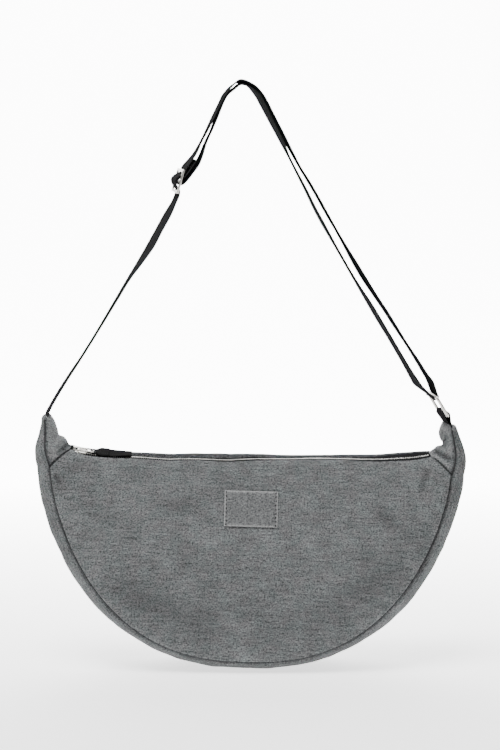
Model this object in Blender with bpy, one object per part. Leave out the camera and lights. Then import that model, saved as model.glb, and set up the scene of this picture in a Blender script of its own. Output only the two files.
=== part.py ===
"""Belt bag: half-moon canvas bag hanging from the top of its webbing strap.

Metres, +Z up, the front faces -Y. The world origin is the underside of the strap's top,
where a hook or a shoulder carries it. The bag is drawn in its own frame, in mm, with the
front panel's two top corners on z = 0, and is then tilted and moved into place.
"""

import math

import bmesh
import bpy
import numpy as np
from mathutils import Vector
from mathutils.bvhtree import BVHTree

MM = 0.001

# Driving dimensions, mm and degrees
BAG_X, STRAP_DROP, BAG_TILT = 9.9, 357.8, 1.2
HALF_WIDTH, PANEL_DEPTH, HORN_HEIGHT = 188.0, 180.0, 43.5
SIDE_POWER, DROP_POWER = 2.45, 1.6
CORNER_HALF, BOTTOM_HALF = 22.0, 40.0
ZIP_MARGIN, ZIP_HALF_GAP = 17.5, 9.0
ZIP_LINE, ZIP_RISE, RISE_LENGTH, BACK_RISE = 8.4, 6.6, 45.0, 2.2
BULGE = 23.0
GUSSET_SIDE, GUSSET_BOTTOM, TIP_LEFT, TIP_RIGHT = 13.5, 9.5, 4.4, 5.8
WALL, GAP = 1.6, 0.42
WEB_WIDTH, WEB_THICK, TIP_PLAY, TUCK, TAB_EASE = 25.0, 1.4, 5.5, 9.0, 2.6
TAPE, TAPE_DROP, TOOTH_PITCH, TOOTH_HALF, TOOTH_RISE = 0.8, 3.6, 1.8, 2.75, 1.2
RING_WIRE, RING_RAIL, RING_CORNER, RING_PLAY, RING_TURN, RING_DIP = 3.0, 22.0, 3.0, 0.75, 12, 5
ADJ_BAR, ADJ_THICK, ADJ_STEP, ADJ_RAIL, ADJ_PLAY, ADJ_TURN = 2.6, 2.0, 10.0, 2.3, 1.2, 12
SLIDER_FROM_END, SLIDER_LIFT, PIVOT_X, PIVOT_Z = 9.0, 1.7, -1.6, 3.1
PULL_BAR, PULL_HALF, PULL_THICK, RIBBON = 1.5, 4.0, 1.2, 36.0
PATCH_W, PATCH_H, PATCH_T, PATCH_X, PATCH_Z = 50.0, 32.0, 1.2, 1.2, -34.5

# What follows from them
BAG_Z = -STRAP_DROP
ZIP_HALF_LENGTH = HALF_WIDTH - ZIP_MARGIN
SLIDER_X = -ZIP_HALF_LENGTH + SLIDER_FROM_END
TIP_HALF = WEB_WIDTH / 2 + TIP_PLAY
RING_BAR = WEB_WIDTH + 2 * (RING_PLAY + RING_CORNER)
ADJ_WIDTH = WEB_WIDTH + 2 * (ADJ_PLAY + ADJ_RAIL)

# How the panels and the gusset are divided
COLUMNS, ROWS, HORN_STEPS, CORNER_STEPS = 40, 9, 6, 3

# Horn seams from tip to corner, and crests from the zip's end to the tip:
# (x over HALF_WIDTH, z over HORN_HEIGHT)
HORN_LEFT = [(-1.0277, 1.000), (-1.0245, 0.690), (-1.0234, 0.345), (-1.0000, 0.000)]
HORN_RIGHT = [(0.9894, 1.000), (1.0106, 0.690), (1.0191, 0.345), (1.0000, 0.000)]
CREST_LEFT = [
    (-0.8963, 0.414), (-0.9282, 0.524), (-0.9638, 0.621),
    (-0.9702, 0.724), (-0.9862, 0.908), (-1.0064, 1.034),
]
CREST_RIGHT = [
    (0.8936, 0.402), (0.9229, 0.520), (0.9574, 0.589),
    (0.9500, 0.701), (0.9479, 0.862), (0.9553, 1.034),
]

# Strap route: (x from BAG_X over HALF_WIDTH, z over STRAP_DROP, degrees the front edge turns to +x)
RISE = [
    (-1.0234, -0.9223, 0), (-1.0239, -0.8888, 0), (-1.0215, -0.8622, 1), (-1.0018, -0.8385, 6),
    (-0.9547, -0.7962, 7), (-0.9033, -0.7539, 6), (-0.8496, -0.7116, 5), (-0.7737, -0.6484, 5),
    (-0.7011, -0.5853, 6), (-0.6532, -0.5434, 7), (-0.6050, -0.5015, 8), (-0.5506, -0.4596, 14),
    (-0.4989, -0.4179, 19), (-0.4555, -0.3762, 18), (-0.4116, -0.3345, 18),
]
OVER = [
    (-0.2792, -0.1790, 9), (-0.2472, -0.1479, 5), (-0.2169, -0.1170, 5), (-0.1887, -0.0860, 5),
    (-0.1500, -0.0449, 5), (-0.1297, -0.0243, 5), (-0.0950, -0.0030, 4), (-0.0500, 0.0106, 3),
    (0.0120, -0.0030, 5), (0.0497, -0.0243, 6), (0.0734, -0.0449, 6), (0.1144, -0.0860, 6),
    (0.1567, -0.1273, 5), (0.1991, -0.1686, 4), (0.2418, -0.2100, 3), (0.2903, -0.2514, 4),
    (0.3366, -0.2930, 4), (0.3802, -0.3345, 4), (0.4260, -0.3762, 3), (0.4716, -0.4179, 5),
    (0.5178, -0.4596, 9), (0.5657, -0.5015, 10), (0.6173, -0.5434, 8), (0.6713, -0.5853, 7),
    (0.7218, -0.6274, 6), (0.7737, -0.6695, 4), (0.8261, -0.7116, 6), (0.8700, -0.7490, 8),
    (0.8961, -0.7698, 11),
]
BACK = [
    (0.8420, -0.7840, 15), (0.8229, -0.7698, 14), (0.7805, -0.7327, 10), (0.7333, -0.6906, 9),
    (0.6856, -0.6484, 9), (0.6370, -0.6064, 10), (0.5895, -0.5644, 9), (0.5395, -0.5224, 5),
    (0.4920, -0.4806, 3), (0.4462, -0.4388, 3), (0.4006, -0.3970, 4), (0.3558, -0.3553, 6),
    (0.3135, -0.3137, 5), (0.2751, -0.2722, 4), (0.2341, -0.2307, 3), (0.1938, -0.1893, 2),
    (0.1560, -0.1479, 5), (0.1360, -0.1273, 5), (0.0950, -0.0860, 6), (0.0542, -0.0449, 6),
    (0.0305, -0.0243, 6), (-0.0120, -0.0080, 5), (-0.0500, 0.0020, 3), (-0.0800, -0.0085, 4),
    (-0.1110, -0.0243, 5), (-0.1324, -0.0449, 5), (-0.1711, -0.0860, 5), (-0.1949, -0.1170, 5),
    (-0.2224, -0.1479, 6), (-0.2439, -0.1790, 9),
]
RING_AT, RING_TO, TAB_FOOT = (0.9069, -0.8055), (0.9707, -0.8581), (1.0090, -0.9089)
ADJ_AT = (-0.3590, -0.2465)
ADJ_UP = (0.270, 0.963)

# The strap at the adjuster: (along over ADJ_STEP, out over ADJ_THICK + WEB_THICK)
THROUGH = [
    (-2.100, -0.471), (-1.400, -0.765), (-1.020, -0.706), (-0.790, -0.500), (-0.600, 0.118),
    (-0.360, 0.882), (0.000, 1.324), (0.330, 0.882), (0.540, 0.279), (0.800, -0.529), (1.060, -0.706),
    (1.400, -0.706),
]
HOME = [
    (1.960, -3.794), (1.080, -2.824), (0.350, -1.941), (-0.050, -1.294), (-0.250, -0.676),
    (-0.290, 0.000), (-0.230, 0.441), (-0.080, 0.735), (0.100, 0.735), (0.240, 0.441), (0.310, 0.000),
    (0.370, -0.441), (0.540, -0.941), (0.800, -1.294), (1.200, -1.765), (1.700, -2.235),
    (2.300, -2.794),
]


def wipe():
    for obj in list(bpy.data.objects):
        bpy.data.objects.remove(obj, do_unlink=True)


def material(name, colour, rough, metal=0.0):
    mat = bpy.data.materials.new(name)
    mat.use_nodes = True
    shader = mat.node_tree.nodes["Principled BSDF"]
    shader.inputs["Base Color"].default_value = (*colour, 1.0)
    shader.inputs["Roughness"].default_value = rough
    shader.inputs["Metallic"].default_value = metal
    return mat


def build(name, points, faces, mat, frame="row"):
    """One closed body from mm points, turned outward, in the world's metres."""
    points = np.asarray(points, float)
    if frame == "bag":
        points = to_row(points)
    mesh = bpy.data.meshes.new(name)
    bm = bmesh.new()
    verts = [bm.verts.new(Vector(p) * MM) for p in points]
    for face in faces:
        if len(set(face)) > 2:
            bm.faces.new([verts[i] for i in face])
    bmesh.ops.remove_doubles(bm, verts=bm.verts, dist=0.00004)
    bmesh.ops.dissolve_degenerate(bm, edges=bm.edges, dist=0.00002)
    loose = [v for v in bm.verts if not v.link_faces]
    bmesh.ops.delete(bm, geom=loose, context="VERTS")
    bmesh.ops.recalc_face_normals(bm, faces=bm.faces)
    bm.to_mesh(mesh)
    bm.free()
    obj = bpy.data.objects.new(name, mesh)
    bpy.context.scene.collection.objects.link(obj)
    mesh.materials.append(mat)
    return obj


def to_row(points):
    p = np.asarray(points, float)
    c, s = math.cos(math.radians(BAG_TILT)), math.sin(math.radians(BAG_TILT))
    x = p[..., 0] * c + p[..., 2] * s + BAG_X
    z = -p[..., 0] * s + p[..., 2] * c + BAG_Z
    return np.stack([x, p[..., 1], z], -1)


def in_bag(rows):
    """Rows of a horn's table, in mm of the bag's frame."""
    return [(x * HALF_WIDTH, z * HORN_HEIGHT) for x, z in rows]


def in_row(x, z):
    """A place on the strap's route, in mm of the row's frame."""
    return BAG_X + x * HALF_WIDTH, z * STRAP_DROP


def smooth(t):
    t = np.clip(t, 0.0, 1.0)
    return t * t * (3 - 2 * t)


def unit(v):
    v = np.asarray(v, float)
    return v / np.maximum(np.linalg.norm(v, axis=-1, keepdims=True), 1e-9)


def resample(points, count):
    """Points at equal steps along a polyline."""
    points = np.asarray(points, float)
    run = np.concatenate([[0], np.cumsum(np.linalg.norm(np.diff(points, axis=0), axis=1))])
    at = np.linspace(0, run[-1], count)
    return np.stack([np.interp(at, run, points[:, k]) for k in range(points.shape[1])], -1)


def spline(points, per):
    """A smooth curve through the points, with per steps between two of them."""
    p = np.asarray(points, float)
    p = np.concatenate([[2 * p[0] - p[1]], p, [2 * p[-1] - p[-2]]])
    out = []
    for i in range(1, len(p) - 2):
        t = np.linspace(0, 1, per, endpoint=False)[:, None]
        a, b, c, d = p[i - 1], p[i], p[i + 1], p[i + 2]
        out.append(0.5 * (2 * b + (c - a) * t + (2 * a - 5 * b + 4 * c - d) * t ** 2
                          + (3 * b - a - 3 * c + d) * t ** 3))
    out.append(p[-2][None])
    return np.concatenate(out)


def grid_normals(grid):
    du = np.gradient(grid, axis=0)
    dv = np.gradient(grid, axis=1)
    return unit(np.cross(du, dv))


def shell(outer, inner):
    """Points and faces of a sheet with thickness, from its two grids."""
    n, m = outer.shape[:2]
    points = np.concatenate([outer.reshape(-1, 3), inner.reshape(-1, 3)])
    faces = []

    def at(i, j, side):
        return side * n * m + i * m + j

    for i in range(n - 1):
        for j in range(m - 1):
            faces.append((at(i, j, 0), at(i + 1, j, 0), at(i + 1, j + 1, 0), at(i, j + 1, 0)))
            faces.append((at(i, j, 1), at(i, j + 1, 1), at(i + 1, j + 1, 1), at(i + 1, j, 1)))
    for i in range(n - 1):
        for j in (0, m - 1):
            faces.append((at(i, j, 0), at(i, j, 1), at(i + 1, j, 1), at(i + 1, j, 0)))
    for j in range(m - 1):
        for i in (0, n - 1):
            faces.append((at(i, j, 0), at(i, j + 1, 0), at(i, j + 1, 1), at(i, j, 1)))
    return points, faces


def band(path, across, width, thick):
    """A flat band swept along path, its width along across."""
    path, across = np.asarray(path, float), unit(across)
    face = unit(np.cross(np.gradient(path, axis=0), across))
    half = across * np.reshape(width, (-1, 1)) / 2
    grid = np.stack([path - half, path + half], 1)
    lift = (face * np.reshape(thick, (-1, 1)) / 2)[:, None]
    return shell(grid + lift, grid - lift)


def plate(xs, ys, holes, thick):
    """A flat plate over the grid xs by ys, without the cells named in holes."""
    cells = {(i, j) for i in range(len(xs) - 1) for j in range(len(ys) - 1)} - set(holes)
    points = [(x, y, z) for z in (-thick / 2, thick / 2) for x in xs for y in ys]

    def at(i, j, k):
        return k * len(xs) * len(ys) + i * len(ys) + j

    faces = []
    for i, j in sorted(cells):
        faces.append((at(i, j, 1), at(i + 1, j, 1), at(i + 1, j + 1, 1), at(i, j + 1, 1)))
        faces.append((at(i, j, 0), at(i, j + 1, 0), at(i + 1, j + 1, 0), at(i + 1, j, 0)))
        sides = [((i - 1, j), (i, j), (i, j + 1)), ((i + 1, j), (i + 1, j + 1), (i + 1, j)),
                 ((i, j - 1), (i + 1, j), (i, j)), ((i, j + 1), (i, j + 1), (i + 1, j + 1))]
        for other, a, b in sides:
            if other not in cells:
                faces.append((at(*a, 0), at(*b, 0), at(*b, 1), at(*a, 1)))
    return np.array(points, float), faces


def placed(points, centre, u, v, w):
    return np.asarray(centre, float) + points @ np.array([u, v, w], float)


# The seam

def seam_line():
    """Seam points (x, z) from the left tip to the right tip, and where the corners are."""
    t = np.linspace(0, math.pi, 2000)
    body = np.stack([-HALF_WIDTH * np.sign(np.cos(t)) * np.abs(np.cos(t)) ** (2 / SIDE_POWER),
                     -PANEL_DEPTH * np.abs(np.sin(t)) ** (2 / DROP_POWER)], -1)
    left = resample(spline(in_bag(HORN_LEFT), 20), HORN_STEPS + 1)
    right = resample(spline(in_bag(HORN_RIGHT), 20)[::-1], HORN_STEPS + 1)
    return np.concatenate([left[:-1], resample(body, COLUMNS + 1), right[1:]])


def seam_half(z):
    """Half the gusset's width along the seam."""
    down = CORNER_HALF + (BOTTOM_HALF - CORNER_HALF) * smooth(-z / (0.83 * PANEL_DEPTH))
    up = CORNER_HALF + (TIP_HALF - CORNER_HALF) * smooth(z / HORN_HEIGHT)
    return np.where(z < 0, down, up)


def gusset_bulge(x, z, tip):
    low = GUSSET_SIDE + (GUSSET_BOTTOM - GUSSET_SIDE) * smooth((-z / PANEL_DEPTH - 0.56) / 0.39)
    high = GUSSET_SIDE + (tip - GUSSET_SIDE) * smooth(z / HORN_HEIGHT)
    return np.where(z < 0, low, high)


def zip_height(x):
    return ZIP_LINE + 0.012 * x + ZIP_RISE * smooth((np.abs(x) - ZIP_HALF_LENGTH) / RISE_LENGTH + 1.0)


SEAM = seam_line()
FIRST, LAST = HORN_STEPS, HORN_STEPS + COLUMNS


def top_edge(side):
    """The panel's top edge: up the corner, along the zip and down the other corner."""
    lift = BACK_RISE if side > 0 else 0.0
    left = np.array([(-HALF_WIDTH, CORNER_HALF, 0.0)])
    right = np.array([(HALF_WIDTH, CORNER_HALF, 0.0)])
    x = np.linspace(-ZIP_HALF_LENGTH, ZIP_HALF_LENGTH, COLUMNS + 1 - 2 * CORNER_STEPS)
    gap = ZIP_HALF_GAP + 0 * x
    line = np.stack([x, gap, zip_height(x) + lift], -1)
    t = np.linspace(0, 1, CORNER_STEPS + 1)[:, None]
    bow = 1.6 * np.sin(math.pi * t) * np.array([[0.0, 1.0, 0.5]])
    up = left + (line[0] - left) * t + bow
    down = line[-1] + (right - line[-1]) * t + bow
    edge = np.concatenate([up[:-1], line, down[1:]])
    edge[:, 1] *= side
    return edge


def panel_grid(side):
    """The panel's outer surface: side -1 is the front, +1 the back."""
    top = top_edge(side)
    seam = SEAM[FIRST:LAST + 1]
    low = np.stack([seam[:, 0], side * seam_half(seam[:, 1]), seam[:, 1]], -1)
    v = np.linspace(0, 1, ROWS) ** 0.94
    grid = top[:, None] + (low - top)[:, None] * v[None, :, None]
    chord = np.linalg.norm(low - top, axis=1)
    swell = BULGE * (chord / chord.max()) ** 0.9
    grid[..., 1] += side * swell[:, None] * (4 * v * (1 - v))[None] ** 0.75
    return grid


def gusset_grid():
    tips = np.where(np.arange(len(SEAM)) < len(SEAM) / 2, TIP_LEFT, TIP_RIGHT)
    ahead = unit(np.gradient(SEAM, axis=0))
    out = np.stack([ahead[:, 1], -ahead[:, 0]], -1)
    half = seam_half(SEAM[:, 1])
    rise = gusset_bulge(SEAM[:, 0], SEAM[:, 1], tips)
    v = np.linspace(-1, 1, 8)
    arch = 1 - np.abs(v) ** 3.2
    x = SEAM[:, None, 0] + out[:, None, 0] * rise[:, None] * arch
    z = SEAM[:, None, 1] + out[:, None, 1] * rise[:, None] * arch
    y = half[:, None] * v[None]
    return np.stack([x, y + 0 * x, z], -1), np.stack([out[:, 0], 0 * half, out[:, 1]], -1)


def tab_grid(end):
    """An end tab from the zip's end to the horn tip: end -1 is the left."""
    front, back = top_edge(-1), top_edge(1)
    if end < 0:
        corner = slice(CORNER_STEPS, None, -1)
        seam = SEAM[FIRST - 1::-1]
        crest = CREST_LEFT
        f, b = front[CORNER_STEPS::-1], back[CORNER_STEPS::-1]
    else:
        seam = SEAM[LAST + 1:]
        crest = CREST_RIGHT
        f, b = front[-1 - CORNER_STEPS:], back[-1 - CORNER_STEPS:]
    half = seam_half(seam[:, 1])
    up_front = np.stack([seam[:, 0], -half, seam[:, 1]], -1)
    up_back = np.stack([seam[:, 0], half, seam[:, 1]], -1)
    f = np.concatenate([f, up_front])
    b = np.concatenate([b, up_back])
    top = resample(spline(in_bag(crest), 12), len(f))
    top = np.stack([top[:, 0], 0 * top[:, 0], top[:, 1]], -1)
    v = np.linspace(-1, 1, 9)
    along = np.linspace(0, 1, len(f))
    power = 2.0 + 1.6 * along
    arch = 1 - np.abs(v[None]) ** power[:, None]
    middle = (f + b) / 2
    flat = f[:, None] + (b - f)[:, None] * ((v + 1) / 2)[None, :, None]
    return flat + (top - middle)[:, None] * arch[..., None]


def inset(line, n_own, n_other, inward):
    """Where a wall's inner border lies from its outer one, and the way it backs off."""
    tangent = unit(np.gradient(line, axis=0))
    mitre = -WALL * (n_own + n_other) / np.maximum(1 + (n_own * n_other).sum(-1, keepdims=True), 0.35)
    away = unit(np.cross(mitre, tangent))
    sign = np.sign((away * inward).sum(-1, keepdims=True))
    return mitre, away * sign * GAP / 2


def main():
    wipe()
    canvas = material("canvas", (0.17, 0.175, 0.17), 0.9)
    web = material("webbing", (0.012, 0.012, 0.013), 0.8)
    tape = material("zip_tape", (0.012, 0.012, 0.013), 0.85)
    teeth = material("zip_teeth", (0.45, 0.44, 0.42), 0.35, 1.0)
    metal = material("metal", (0.48, 0.46, 0.43), 0.3, 1.0)
    suede = material("patch", (0.3, 0.29, 0.27), 0.9)

    # Panels, gusset and end tabs share their borders, so their walls meet in mitres
    panels = {side: panel_grid(side) for side in (-1, 1)}
    gusset, out = gusset_grid()
    tabs = {end: tab_grid(end) for end in (-1, 1)}
    gusset_n = grid_normals(gusset)
    gusset_n *= np.sign((gusset_n * out[:, None]).sum(-1, keepdims=True) + 1e-9)
    panel_n = {}
    for side, grid in panels.items():
        n = grid_normals(grid)
        n *= np.sign(n[..., 1:2] * side + 1e-9)
        n[0], n[-1] = n[1], n[-2]
        panel_n[side] = n
    tab_n = {}
    for end, grid in tabs.items():
        n = grid_normals(grid)
        flip = np.sign(n[2, 4, 2])
        tab_n[end] = n * flip

    def walls(grid, normals, borders):
        """Outer and inner grids; borders are (column, other normals) pairs of sewn edges."""
        outer, inner = grid.copy(), grid - normals * WALL
        for column, n_other in borders:
            line = grid[:, column]
            inward = grid[:, 1 if column == 0 else -2] - line
            mitre, away = inset(line, normals[:, column], n_other, inward)
            outer[:, column] = line + away
            inner[:, column] = line + mitre + away
        return outer, inner

    made = {}
    for side, name in ((-1, "front_panel"), (1, "back_panel")):
        grid, n = panels[side], panel_n[side]
        edge = 0 if side < 0 else -1
        seam_n = gusset_n[FIRST:LAST + 1, edge]
        outer, inner = walls(grid, n, [(-1, seam_n)])
        top_in = grid[:, 0] - np.array([0, 0, 1.0]) * WALL / np.maximum(n[:, 0, 2:3], 0.45)
        inner[:, 0] = top_in
        # Along the two corners the top edge is sewn to an end tab
        for end, cols in ((-1, slice(0, CORNER_STEPS + 1)), (1, slice(COLUMNS - CORNER_STEPS, None))):
            steps = slice(CORNER_STEPS, None, -1) if end < 0 else slice(0, CORNER_STEPS + 1)
            n_tab = tab_n[end][steps, edge]
            line = grid[cols, 0]
            mitre, away = inset(line, n[cols, 0], n_tab, grid[cols, 1] - line)
            outer[cols, 0] = line + away
            inner[cols, 0] = line + mitre + away
        # The two corner columns have no height: they keep one point each, backed off
        for c, way in ((0, 1), (-1, -1)):
            point = grid[c, 0] + np.array([way * 1.2, 0, 0.0])
            outer[c] = point
            inner[c] = point + np.array([way * 1.6, -side * 1.6, 0.0])
        made[name] = (outer, inner)
        build(name, *shell(outer, inner), canvas, "bag")

    borders = []
    for side, edge in ((-1, 0), (1, -1)):
        n_other = np.zeros((len(SEAM), 3))
        n_other[FIRST:LAST + 1] = panel_n[side][:, -1]
        n_other[:FIRST] = tab_n[-1][CORNER_STEPS + 1:, edge][::-1]
        n_other[LAST + 1:] = tab_n[1][CORNER_STEPS + 1:, edge]
        borders.append((edge, n_other))
    made["gusset"] = walls(gusset, gusset_n, borders)
    build("gusset", *shell(*made["gusset"]), canvas, "bag")

    for end, name in ((-1, "end_tab_left"), (1, "end_tab_right")):
        grid, n = tabs[end], tab_n[end]
        borders = []
        for side, edge in ((-1, 0), (1, -1)):
            n_other = np.zeros((len(grid), 3))
            cols = slice(CORNER_STEPS, None, -1) if end < 0 else slice(COLUMNS - CORNER_STEPS, None)
            n_other[:CORNER_STEPS + 1] = panel_n[side][cols, 0]
            seam = gusset_n[FIRST - 1::-1, edge] if end < 0 else gusset_n[LAST + 1:, edge]
            n_other[CORNER_STEPS + 1:] = seam
            n_other[CORNER_STEPS] = gusset_n[FIRST if end < 0 else LAST, edge]
            borders.append((edge, n_other))
        outer, inner = walls(grid, n, borders)
        for edge, near in ((0, 1), (-1, -2)):
            back_off = unit(grid[CORNER_STEPS, near] - grid[CORNER_STEPS, edge]) * 1.4
            outer[CORNER_STEPS, edge] += back_off
            inner[CORNER_STEPS, edge] += back_off
        made[name] = outer, inner
        build(name, *shell(*made[name]), canvas, "bag")

    # Zip: tapes under the panels' turned edges, one row of closed teeth between them
    for side, name in ((-1, "zip_tape_front"), (1, "zip_tape_back")):
        inner = made["front_panel" if side < 0 else "back_panel"][1]
        cols = slice(CORNER_STEPS, COLUMNS - CORNER_STEPS + 1)
        top, low = inner[cols, 0].copy(), inner[cols, 1]
        top[0, 0] += 1.0
        top[-1, 0] -= 1.0
        slope = unit(low - top)
        under = np.cross(slope, np.array([1.0, 0, 0]))
        under *= np.sign(under[:, 2:3]) * -1
        bend = top + under * GAP * 1.3 + slope * 0.6
        foot = top + under * GAP * 1.3 + slope * 7.0
        mouth = bend.copy()
        mouth[:, 1] = side * (TOOTH_HALF + 0.35)
        mouth[:, 2] = zip_height(mouth[:, 0]) - TAPE_DROP
        bend[:, 2] = np.minimum(bend[:, 2], mouth[:, 2] - 0.2)
        grid = np.stack([mouth, bend, foot], 1)
        drop = np.array([0, 0, -TAPE])
        lower = grid + drop
        lower[:, 2] = foot + under * TAPE
        build(name, *shell(grid, lower), tape, "bag")
    count = int(2 * (ZIP_HALF_LENGTH - 2.0) / TOOTH_PITCH)
    start = -count * TOOTH_PITCH / 2
    stations = []
    for k in range(count):
        x = start + k * TOOTH_PITCH
        stations += [(x + 0.25 * TOOTH_PITCH, TOOTH_HALF, TOOTH_RISE),
                     (x + 0.75 * TOOTH_PITCH, TOOTH_HALF - 0.65, TOOTH_RISE - 0.65)]
    stations = np.array(stations)
    base = zip_height(stations[:, 0]) - TAPE_DROP
    top = base + stations[:, 2]
    bottom = base - 1.0
    ring = [np.stack([stations[:, 0], sy * stations[:, 1], level], -1)
            for sy, level in ((-1, top), (1, top), (1, bottom), (-1, bottom))]
    grid = np.stack(ring + ring[:1], 1)
    n = len(stations)
    faces = [(i * 4 + j, i * 4 + (j + 1) % 4, (i + 1) * 4 + (j + 1) % 4, (i + 1) * 4 + j)
             for i in range(n - 1) for j in range(4)]
    faces += [(0, 1, 2, 3), ((n - 1) * 4, (n - 1) * 4 + 1, (n - 1) * 4 + 2, (n - 1) * 4 + 3)]
    build("zip_chain", grid[:, :4].reshape(-1, 3), faces, teeth, "bag")

    # Slider, its pull and the pull's ribbon lie along the zip's slope
    slope = math.atan2(float(zip_height(SLIDER_X + 5) - zip_height(SLIDER_X - 5)), 10.0)
    ex, ez = np.array([math.cos(slope), 0, math.sin(slope)]), np.array([-math.sin(slope), 0, math.cos(slope)])
    seat = np.array([SLIDER_X, 0, float(zip_height(SLIDER_X)) - TAPE_DROP + SLIDER_LIFT])

    def on_slider(points):
        return placed(np.asarray(points, float), seat, ex, np.array([0, 1.0, 0]), ez)

    points, faces = slider_mesh()
    build("zip_slider", on_slider(points), faces, metal, "bag")

    # Pull: a plate with two windows, its end bar through the slider's bridge
    half = PULL_BAR / 2
    xs = [-half, half, 9.2, 10.7, 13.4, 14.8]
    ys = [-PULL_HALF, -2.4, 2.4, PULL_HALF]
    points, faces = plate(xs, ys, {(1, 1), (3, 1)}, PULL_THICK)
    build("zip_pull", on_slider(points + np.array([PIVOT_X, 0, PIVOT_Z])), faces, metal, "bag")

    # Pull tab: a ribbon folded through the pull's far window, sewn to a thick collar
    far = PIVOT_X + 14.1
    bend = [(far - 1.75 * math.sin(a), 1.75 * math.cos(a)) for a in np.linspace(0.1, math.pi - 0.1, 7)]
    along = np.array([1.5, 4.0, 7.0, 11.0, 15.0, 16.5, 23.0, 30.0, RIBBON])
    apart = np.interp(along, [1.5, 4.0, 15.0, 16.5], [1.75, 1.35, 1.35, 0.8])
    legs = [[(far + x, sign * h) for x, h in zip(along, apart)] for sign in (1, -1)]
    flat = np.array(legs[0][::-1] + bend + legs[1])
    run = flat[:, 0] - far
    wide = np.interp(run, [1.5, 4.0, 15.0, RIBBON], [3.9, 9.0, 9.0, 8.0])
    thick = 1.0 + 1.1 * np.interp(run, [1.5, 4.0, 15.0, 16.5], [0.0, 1.0, 1.0, 0.0])
    turn = np.radians(np.interp(run, [1.5, 8.0, 16.0, RIBBON], [0, 48, 45, 20]))
    lift = 0.0022 * np.maximum(run, 0) ** 2
    across = np.stack([0 * turn, np.cos(turn), np.sin(turn)], -1)
    path = np.stack([flat[:, 0], -flat[:, 1] * np.sin(turn), PIVOT_Z + lift + flat[:, 1] * np.cos(turn)], -1)
    points, faces = band(path, across, wide, thick)
    build("pull_tab", on_slider(points), faces, web, "bag")

    # Ring
    turn, dip = math.radians(RING_TURN), math.radians(RING_DIP)
    bar = unit([math.sin(turn), -math.cos(turn), -math.tan(dip)])
    at, to = (np.array([x, 0, z]) for x, z in (in_row(*RING_AT), in_row(*RING_TO)))
    rail = unit((to - at) - ((to - at) @ bar) * bar)
    at[1] = -rail[1] * RING_RAIL / 2
    to = at + rail * RING_RAIL
    middle = (at + to) / 2
    build("strap_ring", *ring_mesh(middle, bar, rail), metal)

    # Adjuster
    up = unit(np.array([ADJ_UP[0], 0, ADJ_UP[1]]))
    wide = np.array([math.sin(math.radians(ADJ_TURN)), -math.cos(math.radians(ADJ_TURN)), 0])
    wide = unit(wide - (wide @ up) * up)
    outward = np.cross(wide, up)
    outward *= -np.sign(outward[0])
    slot, half = ADJ_STEP - ADJ_BAR, ADJ_BAR / 2
    xs = [-ADJ_STEP - half, -ADJ_STEP + half, -half, half, ADJ_STEP - half, ADJ_STEP + half]
    inside = WEB_WIDTH / 2 + ADJ_PLAY
    ys = [-ADJ_WIDTH / 2, -inside, inside, ADJ_WIDTH / 2]
    points, faces = plate(xs, ys, {(1, 1), (3, 1)}, ADJ_THICK)
    x, z = in_row(*ADJ_AT)
    centre = np.array([x, 0, z])
    build("strap_adjuster", placed(points, centre, up, wide, outward), faces, metal)

    # Strap: up from the left horn, through the adjuster, over, round the ring and back
    def turned(rows):
        out = []
        for x, z, turn in rows:
            (x, z), t = in_row(x, z), math.radians(turn)
            out.append((x, 0.0, z, math.sin(t), -math.cos(t), 0.0))
        return out

    def at_slide(rows):
        lift = ADJ_THICK + WEB_THICK
        return [(*(centre + up * s * ADJ_STEP + outward * n * lift), *wide) for s, n in rows]

    def wrap(bar_at, way, angles):
        r = RING_WIRE / 2 + WEB_THICK / 2 + 0.6
        return [(*(bar_at + r * (normal * math.cos(a) + rail * way * math.sin(a))), *bar)
                for a in np.radians(angles)]

    normal = np.cross(bar, rail)
    normal *= np.sign(normal[0])
    over_ring = wrap(at, 1, [-20, 20, 60, 90, 120, 160, 200])
    route = turned(RISE) + at_slide(THROUGH) + turned(OVER) + over_ring + turned(BACK) + at_slide(HOME)
    path = spline(route, 3)
    build("strap", *band(path[:, :3], path[:, 3:], WEB_WIDTH, WEB_THICK), web)

    # Ring tab: folded over the ring's lower bar, both ends down in the right horn
    x, z = in_row(*TAB_FOOT)
    foot = np.array([x, 0, z])
    down = unit(foot - to)
    side = np.array([-down[2], 0, down[0]])
    straight = (0.0, -1.0, 0.0)
    legs = [[(*(foot - down * back + side * sign * (WEB_THICK / 2 + 0.3)), *straight) for back in (0, TUCK)]
            for sign in (1, -1)]
    under_ring = wrap(to, -1, [-10, 30, 65, 90, 115, 150, 190])
    path = spline(legs[0] + under_ring + legs[1][::-1], 3)
    build("ring_tab", *band(path[:, :3], path[:, 3:], WEB_WIDTH - TAB_EASE, WEB_THICK), web)

    # Label patch, laid on the front panel
    outer = to_row(made["front_panel"][0]).reshape(-1, 3)
    n, m = COLUMNS + 1, ROWS
    quads = [(i * m + j, (i + 1) * m + j, (i + 1) * m + j + 1, i * m + j + 1)
             for i in range(1, n - 2) for j in range(m - 1)]
    tree = BVHTree.FromPolygons([Vector(p) for p in outer], quads)
    xs = np.linspace(-PATCH_W / 2, PATCH_W / 2, 7)
    zs = np.linspace(-PATCH_H / 2, PATCH_H / 2, 5)
    grid = np.zeros((len(xs), len(zs), 3))
    for i, x in enumerate(xs):
        for j, z in enumerate(zs):
            spot = to_row(np.array([PATCH_X + x, -100.0, PATCH_Z + z]))
            hit = tree.ray_cast(Vector(spot), Vector((0, 1, 0)))[0]
            grid[i, j] = hit
    n_out = grid_normals(grid)
    n_out *= -np.sign(n_out[..., 1:2])
    build("label_patch", *shell(grid + n_out * (0.5 + PATCH_T), grid + n_out * 0.5), suede)


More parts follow.
